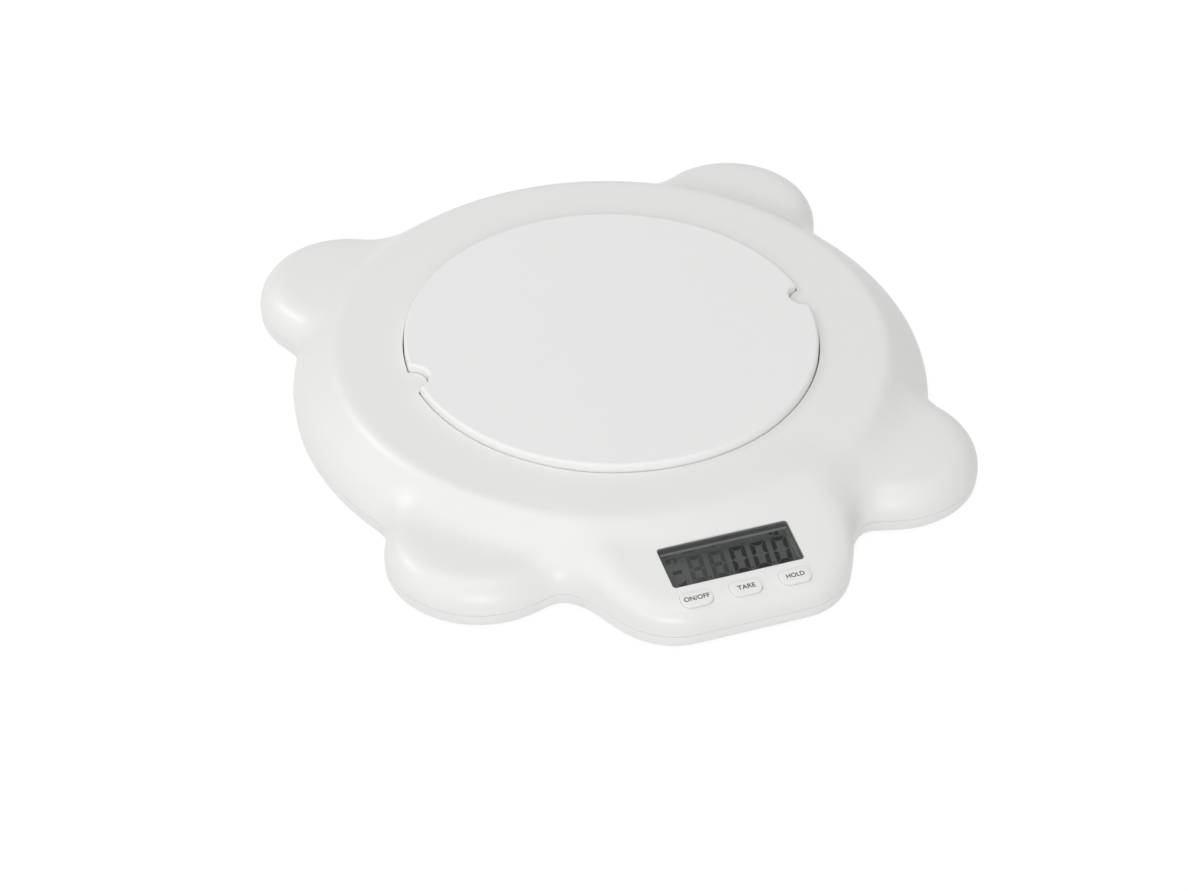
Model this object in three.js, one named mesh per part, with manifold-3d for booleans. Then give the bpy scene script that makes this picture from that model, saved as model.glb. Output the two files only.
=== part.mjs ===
// Digital baby weighing scale: a round platform on a load cell, in a moulded housing with four paws
// and a sloped front lobe that carries the display and three buttons.
// Millimetres, +Z up, floor at z = 0, display towards -Y. The housing is drawn around the platform's
// axis and moved along Y at the end, so that the origin lies under the middle of the footprint.

import * as THREE from 'three';
import { mergeVertices } from 'three/addons/utils/BufferGeometryUtils.js';
import ManifoldModule from 'manifold-3d';

const solids = await ManifoldModule();
solids.setup();

// General sizes
const wall = 2.5;
const clearance = 0.3;
const seat = 0.1;
const overrun = 1;
const weld = 0.0001;

// Heights above the floor
const footStandoff = 2;
const bandHeight = 6.4;
const ringHeight = 33;
const partingHeight = footStandoff + bandHeight;
const floorTop = footStandoff + wall;

// Display and button field, a plane on the front lobe
const panel = { distance: 157.8, drop: 8.1, tilt: 10.5 };

// Display window, set flush in the panel
const lens = { width: 63.8, height: 23.6, corner: 1.6, thickness: 1.4, ledge: 0.9, fit: 0.25 };

// Buttons: caps, tact switches and their places
const buttonPitchShare = 0.3746;
const button = {
  width: 15.2,
  height: 8.2,
  cornerTop: 2.3,
  cornerBottom: 3.9,
  proud: 0.6,
  edge: 0.5,
  gap: 0.25,
  pitch: lens.width * buttonPitchShare,
  forward: 20.3,
  bottom: 3,
  ear: 1.3,
  earHeight: 5.4,
  earThickness: 0.9,
  stemRadius: 2,
  travel: 0.5,
};
const tact = {
  size: 6,
  bodyHeight: 3.4,
  capHeight: 0.3,
  plungerRadius: 1.7,
  plungerProud: 1.3,
  plungerDepth: 1,
  plateShare: 0.92,
};

// Display stack, heights measured down from the panel plane
const stackRoom = { glass: 1.3, frame: 1.8, zebra: 4.2, post: 4, boardEdge: 3.5, boardFront: 3.8 };
const glass = {
  width: lens.width + 2 * stackRoom.glass,
  height: lens.height + 2 * stackRoom.glass,
  thickness: 2.6,
  depth: 5,
  step: 2.4,
};
const frame = {
  width: glass.width + 2 * stackRoom.frame,
  height: glass.height + 2 * stackRoom.frame,
  top: 3.2,
};
const zebra = { length: glass.width - 2 * stackRoom.zebra, width: 1.6 };
const postX = frame.width / 2 + stackRoom.post;
const board = {
  thickness: 1.6,
  depth: 9.6,
  rear: 17,
  front: button.forward + stackRoom.boardFront,
  rearHalfWidth: postX + stackRoom.boardEdge,
  frontHalfWidth: 34,
  step: 15.6,
  postX,
  postRear: 12.6,
  postFront: 11.2,
  postRadius: 2.9,
};
const chip = { radius: 7, height: 1.4, x: 4, y: 2, topShare: 0.7, edgeShare: 0.8 };
const boardBottom = board.depth + board.thickness;

// Room round the circuit board, out to the lobe's screws and skin
const lobeRoom = { screwSide: 7.5, skinSide: 14.8, screwRear: 11.8, skinFront: 29.5 };

// Band under the parting line with its locating lip, and the ribs on the floor
const band = { seam: 0.3, lip: 1.4, lipGap: 0.2, lipRise: 2.2, bottomRound: 1.8, draft: 0.3 };
const floorRib = { wall: 1.6, height: 3, ringRadius: 92, count: 12, inner: 46 };

// Housing skin, seen from above and in section
const skin = {
  bodyRadius: 154.3,
  shoulderRadius: 133.8,
  flankSlope: 42,
  shoulderBlend: 3.2,
  flankBlend: 7.2,
  pawBlend: 8.9,
  pawEdgeBlend: 14.7,
  pawCrownRadius: 510,
  lobeHalfWidth: board.rearHalfWidth + lobeRoom.skinSide,
  lobeReach: panel.distance + lobeRoom.skinFront,
  lobeCorner: 30.3,
  lobeRoot: 120,
  lobeFlare: 35,
  lobeEdgeBlend: 10,
  rootRadius: 132,
  rootSlope: 32,
  rootShoulderBlend: 6,
  rootBlend: 5,
  trimBlend: 8,
  trimLift: 6,
  roofBlend: 1,
  searchReach: 220,
};
const frontPaw = { angle: 45, distance: 143.8, radius: 43.8, rise: 14.4 };
const rearPaw = { angle: 135, distance: 145, radius: 43, rise: 15.1 };

// Weighing platform and the well that it stands in
const platform = {
  diameter: 200,
  proud: 3.7,
  edgeRadius: 1.6,
  plate: 2.8,
  skirtDepth: 7.6,
  skirtWall: 2.2,
  gap: 0.55,
  notchRadius: 8.5,
  notchInset: 1.5,
  ribWall: 1.6,
  ribDepth: 5,
  ribRing: 42,
  ribCount: 8,
  hubRadius: 16,
  screwRadius: 70,
  bossRadius: 4.5,
  travel: 0.5,
};
const platformRadius = platform.diameter / 2;
const platformTop = ringHeight + platform.proud;
const plateBottom = platformTop - platform.plate;
const well = { radius: platformRadius + platform.gap, lipDepth: 9 };

// Load cell and its mounting
const cell = {
  length: 80,
  width: 12.7,
  height: 12.7,
  boreRadius: 4.6,
  boreSpacing: 12,
  holeRadius: 2.6,
  holeDepth: 9,
  holeInset: 5,
  holePitch: 15,
  slotShare: 1 / 3,
  coatLength: 24,
  coatWall: 0.9,
};
const spacer = { length: 26, width: 18, height: 2.3, holeRadius: 2.7 };
const cellPad = { rise: 1.5, margin: 3 };
const cellBolt = {
  shankRadius: 2.4,
  headRadius: 4.2,
  headHeight: 1.8,
  grip: 8,
  recessRadius: 4.7,
  hexRadius: 1.7,
};
const carrier = { armAngles: [45, 135], plate: 2.5, hubRadius: 26, armWidth: 18, padRadius: 10, holeRadius: 1.9 };
const overloadStop = { distance: 56, radius: 3.2 };
const padTop = floorTop + cellPad.rise;
const baseSpacerBottom = padTop + seat;
const cellBottom = baseSpacerBottom + spacer.height + seat;
const cellTop = cellBottom + cell.height;
const topSpacerBottom = cellTop + seat;
const carrierBottom = topSpacerBottom + spacer.height + seat;
const carrierTop = carrierBottom + carrier.plate;

// Screws
const platformScrew = { shankRadius: 1.3, headRadius: 2.8, headHeight: 1.8, length: 8, pilotRadius: 1.6 };
const coverScrew = {
  shankRadius: 1.45,
  headRadius: 3,
  headHeight: 2.2,
  length: 12.5,
  pilotRadius: 1.75,
  holeRadius: 1.9,
  recessRadius: 3.5,
  recessDepth: 4.5,
  ledge: 3.5,
  towerRadius: 5.2,
  bossRadius: 4.2,
  pawDistance: 127,
  lobeX: board.rearHalfWidth + lobeRoom.screwSide,
  lobeY: panel.distance - lobeRoom.screwRear,
};
const boardScrew = { shankRadius: 0.95, headRadius: 2.1, headHeight: 1.4, length: 6, pilotRadius: 1.2 };

// Rubber feet
const foot = { radius: 9, recess: 1.2, edge: 0.8, pawDistance: 153 };

// Battery bay, its door and its contacts
const battery = { radius: 5.25, length: 43.3, nubRadius: 1.9, nubLength: 1.2, edge: 0.5 };
const bay = { y: 56, springRoom: 4.4, plateRoom: 0.9, wall: 4.5, roof: 1.8, lift: 0.35, sideRoom: 0.35 };
const door = {
  thickness: 1.8,
  rest: 2.2,
  gap: 0.4,
  knuckleRadius: 1.6,
  pinRadius: 1,
  pinLength: 1.2,
  gripRadius: 6.5,
};
const gripShares = { pitch: 1 / 3, width: 1 / 8, rise: 3 / 4 };
const contact = { thickness: 0.5, width: 8.6, height: 8.4, dimpleRadius: 2.4, dimple: 0.35 };
const coil = { turns: 4, radius: 2.7, wire: 0.35, taperShare: 1 / 3, steps: 8, sides: 5 };
const bayLength = battery.length + battery.nubLength + bay.springRoom + bay.plateRoom;
const bayWidth = 4 * (battery.radius + bay.sideRoom);
const batteryOffset = bayWidth / 4;
const doorTop = footStandoff + door.thickness;
const doorLedge = doorTop + clearance;
const batteryHeight = doorLedge + bay.lift + battery.radius;
const bayRoofInside = batteryHeight + battery.radius + bay.lift;

// Internal leads
const lead = { cellRadius: 1.5, batteryRadius: 1.1, sides: 6 };

// Angles of the housing's sections: round the axis, and from straight up down to level
const sectionCount = 96;
const skinElevations = [90, 44, 39, 36.5, 34, 30, 25.5, 21, 17, 13, 9, 5.5, 2.5, 0];
const liningElevations = [90, 40, 33, 26, 20, 15, 11, 7.5, 4.5, 2, 0];
const bisections = 26;

// Sides of the round pieces
const sides = { rim: 72, ring: 40, disc: 24, boss: 14, hole: 10, battery: 18 };

const rad = THREE.MathUtils.degToRad;

// Colours and finishes
const finishes = {
  whiteShell: { color: 0xf0f0ee, roughness: 0.34, metalness: 0 },
  whiteSatin: { color: 0xf2f2f0, roughness: 0.5, metalness: 0 },
  buttonWhite: { color: 0xeeeeec, roughness: 0.42, metalness: 0 },
  smokeLens: { color: 0x3a3d3f, roughness: 0.08, metalness: 0 },
  lcd: { color: 0x6f746f, roughness: 0.25, metalness: 0 },
  aluminium: { color: 0xc4c6c8, roughness: 0.38, metalness: 1 },
  steel: { color: 0xb8babd, roughness: 0.32, metalness: 1 },
  zincPlate: { color: 0xa9abae, roughness: 0.45, metalness: 1 },
  silicone: { color: 0xe8e6df, roughness: 0.6, metalness: 0 },
  boardGreen: { color: 0x1f5a3a, roughness: 0.45, metalness: 0 },
  blackPlastic: { color: 0x1b1b1c, roughness: 0.5, metalness: 0 },
  blackResin: { color: 0x131314, roughness: 0.28, metalness: 0 },
  elastomer: { color: 0xd9cfc4, roughness: 0.7, metalness: 0 },
  rubber: { color: 0x4c4d4f, roughness: 0.85, metalness: 0 },
  nickel: { color: 0xc9c6bd, roughness: 0.25, metalness: 1 },
  batteryLabel: { color: 0x2d4f7c, roughness: 0.4, metalness: 0.2 },
  cableGrey: { color: 0x8d9093, roughness: 0.6, metalness: 0 },
  cableBlack: { color: 0x202122, roughness: 0.6, metalness: 0 },
};

function material(finish) {
  return new THREE.MeshStandardMaterial(finishes[finish]);
}

// Solid geometry helpers

function toSolid(geometry) {
  const bare = geometry.clone();
  bare.deleteAttribute('normal');
  bare.deleteAttribute('uv');
  const merged = mergeVertices(bare, weld);
  const positions = new Float32Array(merged.attributes.position.array);
  const indices = new Uint32Array(merged.index.array);
  return new solids.Manifold(new solids.Mesh({ numProp: 3, vertProperties: positions, triVerts: indices }));
}

function toGeometry(solid) {
  const mesh = solid.getMesh();
  const geometry = new THREE.BufferGeometry();
  geometry.setAttribute(
    'position',
    new THREE.BufferAttribute(new Float32Array(mesh.vertProperties), mesh.numProp),
  );
  geometry.setIndex(new THREE.BufferAttribute(new Uint32Array(mesh.triVerts), 1));
  geometry.computeVertexNormals();
  return geometry;
}

function join(parts) {
  return parts.reduce((whole, part) => whole.add(part));
}

function cut(solid, tools) {
  return tools.reduce((rest, tool) => rest.subtract(tool), solid);
}

function block(width, depth, low, high, x = 0, y = 0) {
  const geometry = new THREE.BoxGeometry(width, depth, high - low);
  geometry.translate(x, y, (low + high) / 2);
  return toSolid(geometry);
}

function rod(radius, low, high, x = 0, y = 0, around = sides.boss) {
  const geometry = new THREE.CylinderGeometry(radius, radius, high - low, around);
  geometry.rotateX(Math.PI / 2);
  geometry.translate(x, y, (low + high) / 2);
  return toSolid(geometry);
}

function rodAlongX(radius, left, right, y, z, around = sides.boss) {
  const geometry = new THREE.CylinderGeometry(radius, radius, right - left, around);
  geometry.rotateZ(Math.PI / 2);
  geometry.translate((left + right) / 2, y, z);
  return toSolid(geometry);
}

function rodAlongY(radius, near, far, x, z, around = sides.boss) {
  const geometry = new THREE.CylinderGeometry(radius, radius, far - near, around);
  geometry.translate(x, (near + far) / 2, z);
  return toSolid(geometry);
}

function revolve(profile, segments = sides.rim, x = 0, y = 0) {
  const geometry = new THREE.LatheGeometry(profile.map(([radius, height]) => {
    return new THREE.Vector2(radius, height);
  }), segments);
  geometry.rotateX(Math.PI / 2);
  geometry.translate(x, y, 0);
  return toSolid(geometry);
}

function slab(shape, low, high, curveSegments = 4) {
  const geometry = new THREE.ExtrudeGeometry(
    shape,
    { depth: high - low, bevelEnabled: false, curveSegments },
  );
  geometry.translate(0, 0, low);
  return toSolid(geometry);
}

// A screw standing on its head, with a cross or a hexagon in it, and its shank upwards.
const screwShares = { slotWidth: 0.34, slotLength: 1.2, driveDepth: 0.5, tip: 0.5 };

function screwSolid(screw, headTop, x, y) {
  const headBottom = headTop - screw.headHeight;
  const tip = screw.shankRadius * screwShares.tip;
  const profile = [
    [0, headBottom],
    [screw.headRadius, headBottom],
    [screw.headRadius, headTop],
    [screw.shankRadius, headTop],
    [screw.shankRadius, headTop + screw.length - tip],
    [tip, headTop + screw.length],
    [0, headTop + screw.length],
  ];
  const solid = revolve(profile, sides.hole, x, y);
  const driveTop = headBottom + screw.headHeight * screwShares.driveDepth;
  if (screw.hexRadius) {
    return solid.subtract(rod(screw.hexRadius, headBottom - overrun, driveTop, x, y, 6));
  }
  const slotWidth = screw.headRadius * screwShares.slotWidth;
  const slotLength = screw.headRadius * screwShares.slotLength;
  return cut(solid, [
    block(slotWidth, slotLength, headBottom - overrun, driveTop, x, y),
    block(slotLength, slotWidth, headBottom - overrun, driveTop, x, y),
  ]);
}

// Skin of the housing as a blended distance, negative inside the housing

const deepestBlendShare = 1 / 4;

function blendDepth(blend) {
  return blend * deepestBlendShare;
}

function smoothMin(a, b, blend) {
  const overlap = Math.max(blend - Math.abs(a - b), 0) / blend;
  return Math.min(a, b) - overlap * overlap * blendDepth(blend);
}

function smoothMax(a, b, blend) {
  return -smoothMin(-a, -b, blend);
}

function bodyDistance(radius, depth) {
  const slope = rad(skin.flankSlope);
  const flank = (radius - skin.shoulderRadius) * Math.sin(slope) + depth * Math.cos(slope);
  const shoulder = smoothMax(depth, flank, skin.shoulderBlend);
  return smoothMax(shoulder, radius - skin.bodyRadius, skin.flankBlend);
}

function pawDistance(paw, x, y, height) {
  const angle = rad(paw.angle);
  const centreX = paw.distance * Math.sin(angle);
  const centreY = -paw.distance * Math.cos(angle);
  const reach = Math.hypot(Math.abs(x) - centreX, y - centreY);
  const crown = height - partingHeight - paw.rise + (reach * reach) / (2 * skin.pawCrownRadius);
  return smoothMax(reach - paw.radius, crown, skin.pawEdgeBlend);
}

// Above the plane that the display and the buttons lie on
function panelDistance(y, height) {
  const tilt = rad(panel.tilt);
  return (height - ringHeight + panel.drop - Math.tan(tilt) * (y + panel.distance)) * Math.cos(tilt);
}

// Outside the lobe's outline, seen from above
function lobePlan(x, y) {
  const halfDepth = (skin.lobeReach - skin.lobeRoot) / 2;
  const middle = -(skin.lobeReach + skin.lobeRoot) / 2;
  const sideways = Math.abs(x) - (skin.lobeHalfWidth - skin.lobeCorner);
  const lengthways = Math.abs(y - middle) - (halfDepth - skin.lobeCorner);
  const corner = Math.hypot(Math.max(sideways, 0), Math.max(lengthways, 0));
  return corner + Math.min(Math.max(sideways, lengthways), 0) - skin.lobeCorner;
}

// Above the soft slope that leads from the ring down to the panel
function rootDistance(radius, depth) {
  const slope = rad(skin.rootSlope);
  const fall = (radius - skin.rootRadius) * Math.sin(slope) + depth * Math.cos(slope);
  return smoothMax(depth, fall, skin.rootShoulderBlend);
}

function skinDistance(x, y, height) {
  const radius = Math.hypot(x, y);
  const depth = height - ringHeight;
  let distance = bodyDistance(radius, depth);
  distance = smoothMin(distance, pawDistance(frontPaw, x, y, height), skin.pawBlend);
  distance = smoothMin(distance, pawDistance(rearPaw, x, y, height), skin.pawBlend);
  const plan = lobePlan(x, y);
  const face = panelDistance(y, height);
  const lobe = smoothMax(plan, face - skin.trimLift, skin.lobeEdgeBlend);
  distance = smoothMin(distance, lobe, skin.lobeFlare);
  const trim = smoothMin(face, rootDistance(radius, depth), skin.rootBlend);
  return smoothMax(smoothMax(distance, trim, skin.trimBlend), depth, skin.roofBlend);
}

// The point where a ray, climbing at an elevation in the half plane at an azimuth from the front,
// comes to a given depth under the skin.
function skinPoint(azimuth, elevation, inset, startRadius) {
  const climb = rad(elevation);
  let near = 0;
  let far = skin.searchReach;
  for (let step = 0; step < bisections; step += 1) {
    const middle = (near + far) / 2;
    const radius = startRadius + middle * Math.cos(climb);
    const height = partingHeight + middle * Math.sin(climb);
    const inside = skinDistance(radius * Math.sin(azimuth), -radius * Math.cos(azimuth), height) < -inset;
    near = inside ? middle : near;
    far = inside ? far : middle;
  }
  return { radius: startRadius + near * Math.cos(climb), height: partingHeight + near * Math.sin(climb) };
}

function outline(azimuth, inset) {
  return skinPoint(azimuth, 0, inset, well.radius).radius;
}

// The housing's reach at an azimuth and a height, less an inset measured square to the skin
function reachAt(azimuth, inset, height) {
  let near = well.radius;
  let far = skin.searchReach;
  for (let step = 0; step < bisections; step += 1) {
    const middle = (near + far) / 2;
    const inside = skinDistance(middle * Math.sin(azimuth), -middle * Math.cos(azimuth), height) < -inset;
    near = inside ? middle : near;
    far = inside ? far : middle;
  }
  return near;
}

function azimuthOf(index) {
  return (2 * Math.PI * index) / sectionCount;
}

function pointAt(azimuth, radius, height) {
  return [radius * Math.sin(azimuth), -radius * Math.cos(azimuth), height];
}

// A solid from one closed section at each azimuth, joined round the axis.
function loftRound(sectionAt) {
  const sections = [];
  for (let index = 0; index < sectionCount; index += 1) {
    sections.push(sectionAt(azimuthOf(index)));
  }
  const count = sections[0].length;
  const positions = sections.flat().flat();
  const indices = [];
  for (let index = 0; index < sectionCount; index += 1) {
    const next = (index + 1) % sectionCount;
    for (let place = 0; place < count; place += 1) {
      const after = (place + 1) % count;
      const corners = [
        index * count + place,
        index * count + after,
        next * count + after,
        next * count + place,
      ];
      indices.push(corners[0], corners[1], corners[2], corners[0], corners[2], corners[3]);
    }
  }
  return solidFrom(positions, indices);
}

// A solid from open sections that run from a point on the axis to another point on the axis.
function loftDisc(sectionAt, startHeight, endHeight) {
  const sections = [];
  for (let index = 0; index < sectionCount; index += 1) {
    sections.push(sectionAt(azimuthOf(index)));
  }
  const count = sections[0].length;
  const positions = sections.flat().flat();
  const first = sectionCount * count;
  const last = first + 1;
  positions.push(0, 0, startHeight, 0, 0, endHeight);
  const indices = [];
  for (let index = 0; index < sectionCount; index += 1) {
    const next = (index + 1) % sectionCount;
    for (let place = 0; place < count - 1; place += 1) {
      const corners = [
        index * count + place,
        index * count + place + 1,
        next * count + place + 1,
        next * count + place,
      ];
      indices.push(corners[0], corners[1], corners[2], corners[0], corners[2], corners[3]);
    }
    indices.push(first, index * count, next * count);
    indices.push(last, next * count + count - 1, index * count + count - 1);
  }
  return solidFrom(positions, indices);
}

function solidFrom(positions, indices) {
  const geometry = new THREE.BufferGeometry();
  geometry.setAttribute('position', new THREE.Float32BufferAttribute(positions, 3));
  geometry.setIndex(indices);
  return toSolid(geometry);
}

// Panel frame: origin in the middle of the display, on the lobe's top plane, Z along its normal

const panelMatrix = new THREE.Matrix4().multiplyMatrices(
  new THREE.Matrix4().makeTranslation(0, -panel.distance, ringHeight - panel.drop),
  new THREE.Matrix4().makeRotationX(rad(panel.tilt)),
);

function onPanel(solid) {
  const geometry = toGeometry(solid);
  geometry.applyMatrix4(panelMatrix);
  return toSolid(geometry);
}

function panelPoint(x, y, z) {
  return new THREE.Vector3(x, y, z).applyMatrix4(panelMatrix);
}

function roundedRectangle(width, height, topCorner, bottomCorner, y = 0) {
  const shape = new THREE.Shape();
  const left = -width / 2;
  const right = width / 2;
  const low = y - height / 2;
  const high = y + height / 2;
  shape.moveTo(left + bottomCorner, low);
  shape.lineTo(right - bottomCorner, low);
  shape.absarc(right - bottomCorner, low + bottomCorner, bottomCorner, -Math.PI / 2, 0);
  shape.lineTo(right, high - topCorner);
  shape.absarc(right - topCorner, high - topCorner, topCorner, 0, Math.PI / 2);
  shape.lineTo(left + topCorner, high);
  shape.absarc(left + topCorner, high - topCorner, topCorner, Math.PI / 2, Math.PI);
  shape.lineTo(left, low + bottomCorner);
  shape.absarc(left + bottomCorner, low + bottomCorner, bottomCorner, Math.PI, 1.5 * Math.PI);
  return shape;
}

// Places that several pieces share

function diagonalPlaces(distance) {
  return [frontPaw, rearPaw].flatMap((paw) => {
    const x = distance * Math.sin(rad(paw.angle));
    const y = -distance * Math.cos(rad(paw.angle));
    return [[-x, y], [x, y]];
  });
}

const coverScrewPlaces = [
  ...diagonalPlaces(coverScrew.pawDistance),
  [-coverScrew.lobeX, -coverScrew.lobeY],
  [coverScrew.lobeX, -coverScrew.lobeY],
];
const footPlaces = diagonalPlaces(foot.pawDistance);
const platformScrewPlaces = diagonalPlaces(platform.screwRadius);
const boltX = cell.length / 2 - cell.holeInset;
const boltOffsets = [boltX, boltX - cell.holePitch];
const spacerX = boltX - cell.holePitch / 2;
const boardPostPlaces = [
  [-board.postX, board.postRear],
  [board.postX, board.postRear],
  [-board.postX, -board.postFront],
  [board.postX, -board.postFront],
];
const buttonNames = ['power', 'tare', 'hold'];
const buttonPlaces = [-button.pitch, 0, button.pitch];
// The ring lies a little under the plane that trims it, by the depth of their blend
const ringTop = ringHeight - blendDepth(skin.roofBlend);
const notchCentre = platformRadius + platform.notchInset;
const notchSides = [-1, 1];

// Levels of the screws that hold the two covers together
const coverScrewHeadTop = footStandoff + coverScrew.recessDepth;
const towerTop = coverScrewHeadTop + coverScrew.ledge;
const coverPilotTop = coverScrewHeadTop + coverScrew.length + overrun;

// Top cover: lofted shell, tabs in the platform's notches, screw bosses, board posts and panel openings

function topShell() {
  return loftRound((azimuth) => {
    const skinPoints = skinElevations.map((elevation) => skinPoint(azimuth, elevation, 0, well.radius));
    const lining = liningElevations.map((elevation) => {
      return skinPoint(azimuth, elevation, wall, well.radius + wall);
    });
    const lipBottom = ringHeight - well.lipDepth;
    const section = [
      ...skinPoints,
      ...lining.reverse(),
      { radius: well.radius + wall, height: lipBottom },
      { radius: well.radius, height: lipBottom },
    ];
    return section.map((point) => pointAt(azimuth, point.radius, point.height));
  });
}

// Everything that hangs under the cover is trimmed to this body, which ends inside the cover's wall.
function coverFill() {
  return loftRound((azimuth) => {
    const ceiling = liningElevations.map((elevation) => {
      return skinPoint(azimuth, elevation, wall / 2, well.radius + wall / 2);
    });
    const section = [
      ...ceiling,
      { radius: ceiling[ceiling.length - 1].radius, height: 0 },
      { radius: well.radius + wall / 2, height: 0 },
    ];
    return section.map((point) => pointAt(azimuth, point.radius, point.height));
  });
}

function buttonOutline(grow) {
  return roundedRectangle(
    button.width + 2 * grow,
    button.height + 2 * grow,
    button.cornerTop + grow,
    button.cornerBottom + grow,
    -button.forward,
  );
}

function buttonOpening(x) {
  const hole = slab(buttonOutline(button.gap), -button.bottom - button.earThickness - wall, overrun);
  const ears = block(
    button.width + 2 * (button.ear + clearance),
    button.earHeight + 2 * clearance,
    -button.bottom - button.earThickness - wall,
    -button.bottom + clearance,
    0,
    -button.forward,
  );
  return hole.add(ears).translate([x, 0, 0]);
}

function topCover() {
  const bossHeight = ringHeight;
  const bosses = coverScrewPlaces.map(([x, y]) => {
    return rod(coverScrew.bossRadius, towerTop + seat, bossHeight, x, y);
  });
  const posts = boardPostPlaces.map(([x, y]) => {
    return onPanel(rod(board.postRadius, -board.depth + seat, wall, x, y));
  });
  const hanging = join([...bosses, ...posts]).intersect(coverFill());
  const tabs = notchSides.map((side) => {
    const radius = platform.notchRadius - platform.gap;
    return rod(radius, ringHeight - wall, ringTop, side * notchCentre, 0, sides.disc);
  });
  const pilots = coverScrewPlaces.map(([x, y]) => {
    return rod(coverScrew.pilotRadius, towerTop - overrun, coverPilotTop, x, y, sides.hole);
  });
  const postPilotTop = board.depth - boardScrew.length;
  const postPilots = boardPostPlaces.map(([x, y]) => {
    return onPanel(rod(boardScrew.pilotRadius, -board.depth - overrun, -postPilotTop, x, y, sides.hole));
  });
  const openingWidth = lens.width - 2 * lens.ledge;
  const openingHeight = lens.height - 2 * lens.ledge;
  const lensRecess = onPanel(slab(
    roundedRectangle(lens.width, lens.height, lens.corner, lens.corner),
    -lens.thickness - seat,
    overrun,
  ));
  const window = onPanel(slab(
    roundedRectangle(openingWidth, openingHeight, lens.corner, lens.corner),
    -wall - overrun,
    0,
  ));
  const openings = buttonPlaces.map((x) => onPanel(buttonOpening(x)));
  return cut(
    join([topShell(), hanging, ...tabs]),
    [...pilots, ...postPilots, lensRecess, window, ...openings],
  );
}

// Bottom cover: floor, band and locating lip, with towers, the cell's pad, the battery bay and ribs



function bottomShell() {
  const lipOutside = wall + clearance + band.lipGap;
  const lipInside = lipOutside + band.lip;
  const lipTop = partingHeight + band.lipRise;
  return loftDisc((azimuth) => {
    const inner = outline(azimuth, lipInside);
    const section = [
      [inner - band.lip, floorTop],
      [inner, floorTop + band.lip],
      [inner, partingHeight],
      [reachAt(azimuth, lipInside, lipTop), lipTop],
      [reachAt(azimuth, lipOutside, lipTop), lipTop],
      [outline(azimuth, lipOutside), partingHeight - band.seam],
      [outline(azimuth, 0), partingHeight - band.seam],
      [outline(azimuth, band.draft), footStandoff + band.bottomRound],
      [outline(azimuth, band.draft + band.bottomRound / 4), footStandoff + band.bottomRound / 4],
      [outline(azimuth, band.draft + band.bottomRound), footStandoff],
    ];
    return section.map(([radius, height]) => pointAt(azimuth, radius, height));
  }, floorTop, footStandoff);
}

function bayOuter() {
  const width = bayLength + 2 * bay.wall;
  const depth = bayWidth + 2 * bay.wall;
  return block(width, depth, footStandoff + seat, bayRoofInside + bay.roof, 0, bay.y);
}

function bayCuts() {
  const inside = block(bayLength, bayWidth, footStandoff - overrun, bayRoofInside, 0, bay.y);
  const rebateWidth = bayLength + 2 * (door.rest + door.gap);
  const rebateDepth = bayWidth + 2 * (door.rest + door.gap);
  const rebate = block(rebateWidth, rebateDepth, footStandoff - overrun, doorLedge, 0, bay.y);
  const axle = rodAlongX(
    door.pinRadius + clearance,
    -doorPinReach - clearance,
    doorPinReach + clearance,
    hingeY,
    hingeZ,
  );
  const axleWay = block(
    2 * (doorPinReach + clearance),
    2 * (door.pinRadius + clearance),
    footStandoff - overrun,
    hingeZ,
    0,
    hingeY,
  );
  const knuckleRoom = rodAlongX(
    door.knuckleRadius + door.gap,
    -rebateWidth / 2,
    rebateWidth / 2,
    hingeY,
    hingeZ,
  );
  return [inside, rebate, axle, axleWay, knuckleRoom];
}

function floorRibs() {
  const ring = rod(floorRib.ringRadius, floorTop - seat, floorTop + floorRib.height, 0, 0, sides.ring);
  const hollow = rod(floorRib.ringRadius - floorRib.wall, 0, ringHeight, 0, 0, sides.ring);
  const spokes = [];
  for (let index = 0; index < floorRib.count; index += 1) {
    const spoke = block(
      floorRib.ringRadius - floorRib.inner - floorRib.wall / 2,
      floorRib.wall,
      floorTop - seat,
      floorTop + floorRib.height,
      (floorRib.ringRadius + floorRib.inner) / 2,
      0,
    );
    spokes.push(spoke.rotate([0, 0, (360 * (index + 1 / 2)) / floorRib.count]));
  }
  return join([ring.subtract(hollow), ...spokes]);
}

function bottomCover() {
  const towers = coverScrewPlaces.map(([x, y]) => {
    return rod(coverScrew.towerRadius, footStandoff + seat, towerTop, x, y);
  });
  const pad = block(
    spacer.length + 2 * cellPad.margin,
    spacer.width + 2 * cellPad.margin,
    footStandoff + seat,
    padTop,
    -spacerX,
    0,
  );
  const screwCuts = coverScrewPlaces.flatMap(([x, y]) => [
    rod(coverScrew.recessRadius, footStandoff - overrun, coverScrewHeadTop, x, y),
    rod(coverScrew.holeRadius, footStandoff - overrun, towerTop + overrun, x, y),
  ]);
  const boltCuts = boltOffsets.flatMap((offset) => [
    rod(cellBolt.recessRadius, footStandoff - overrun, cellBoltHeadTop, -offset, 0),
    rod(spacer.holeRadius, footStandoff - overrun, padTop + overrun, -offset, 0),
  ]);
  const footCuts = footPlaces.map(([x, y]) => {
    return rod(
      foot.radius + clearance,
      footStandoff - overrun,
      footStandoff + foot.recess,
      x,
      y,
      sides.disc,
    );
  });
  const stops = diagonalPlaces(overloadStop.distance).map(([x, y]) => {
    return rod(overloadStop.radius, floorTop - seat, carrierBottom - platform.travel - seat, x, y);
  });
  const whole = join([bottomShell(), floorRibs(), ...towers, ...stops, pad, bayOuter()]);
  return cut(whole, [...screwCuts, ...boltCuts, ...footCuts, ...bayCuts()]);
}

// Platform: plate with a rounded edge, skirt, two notches, ribs and screw bosses

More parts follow.
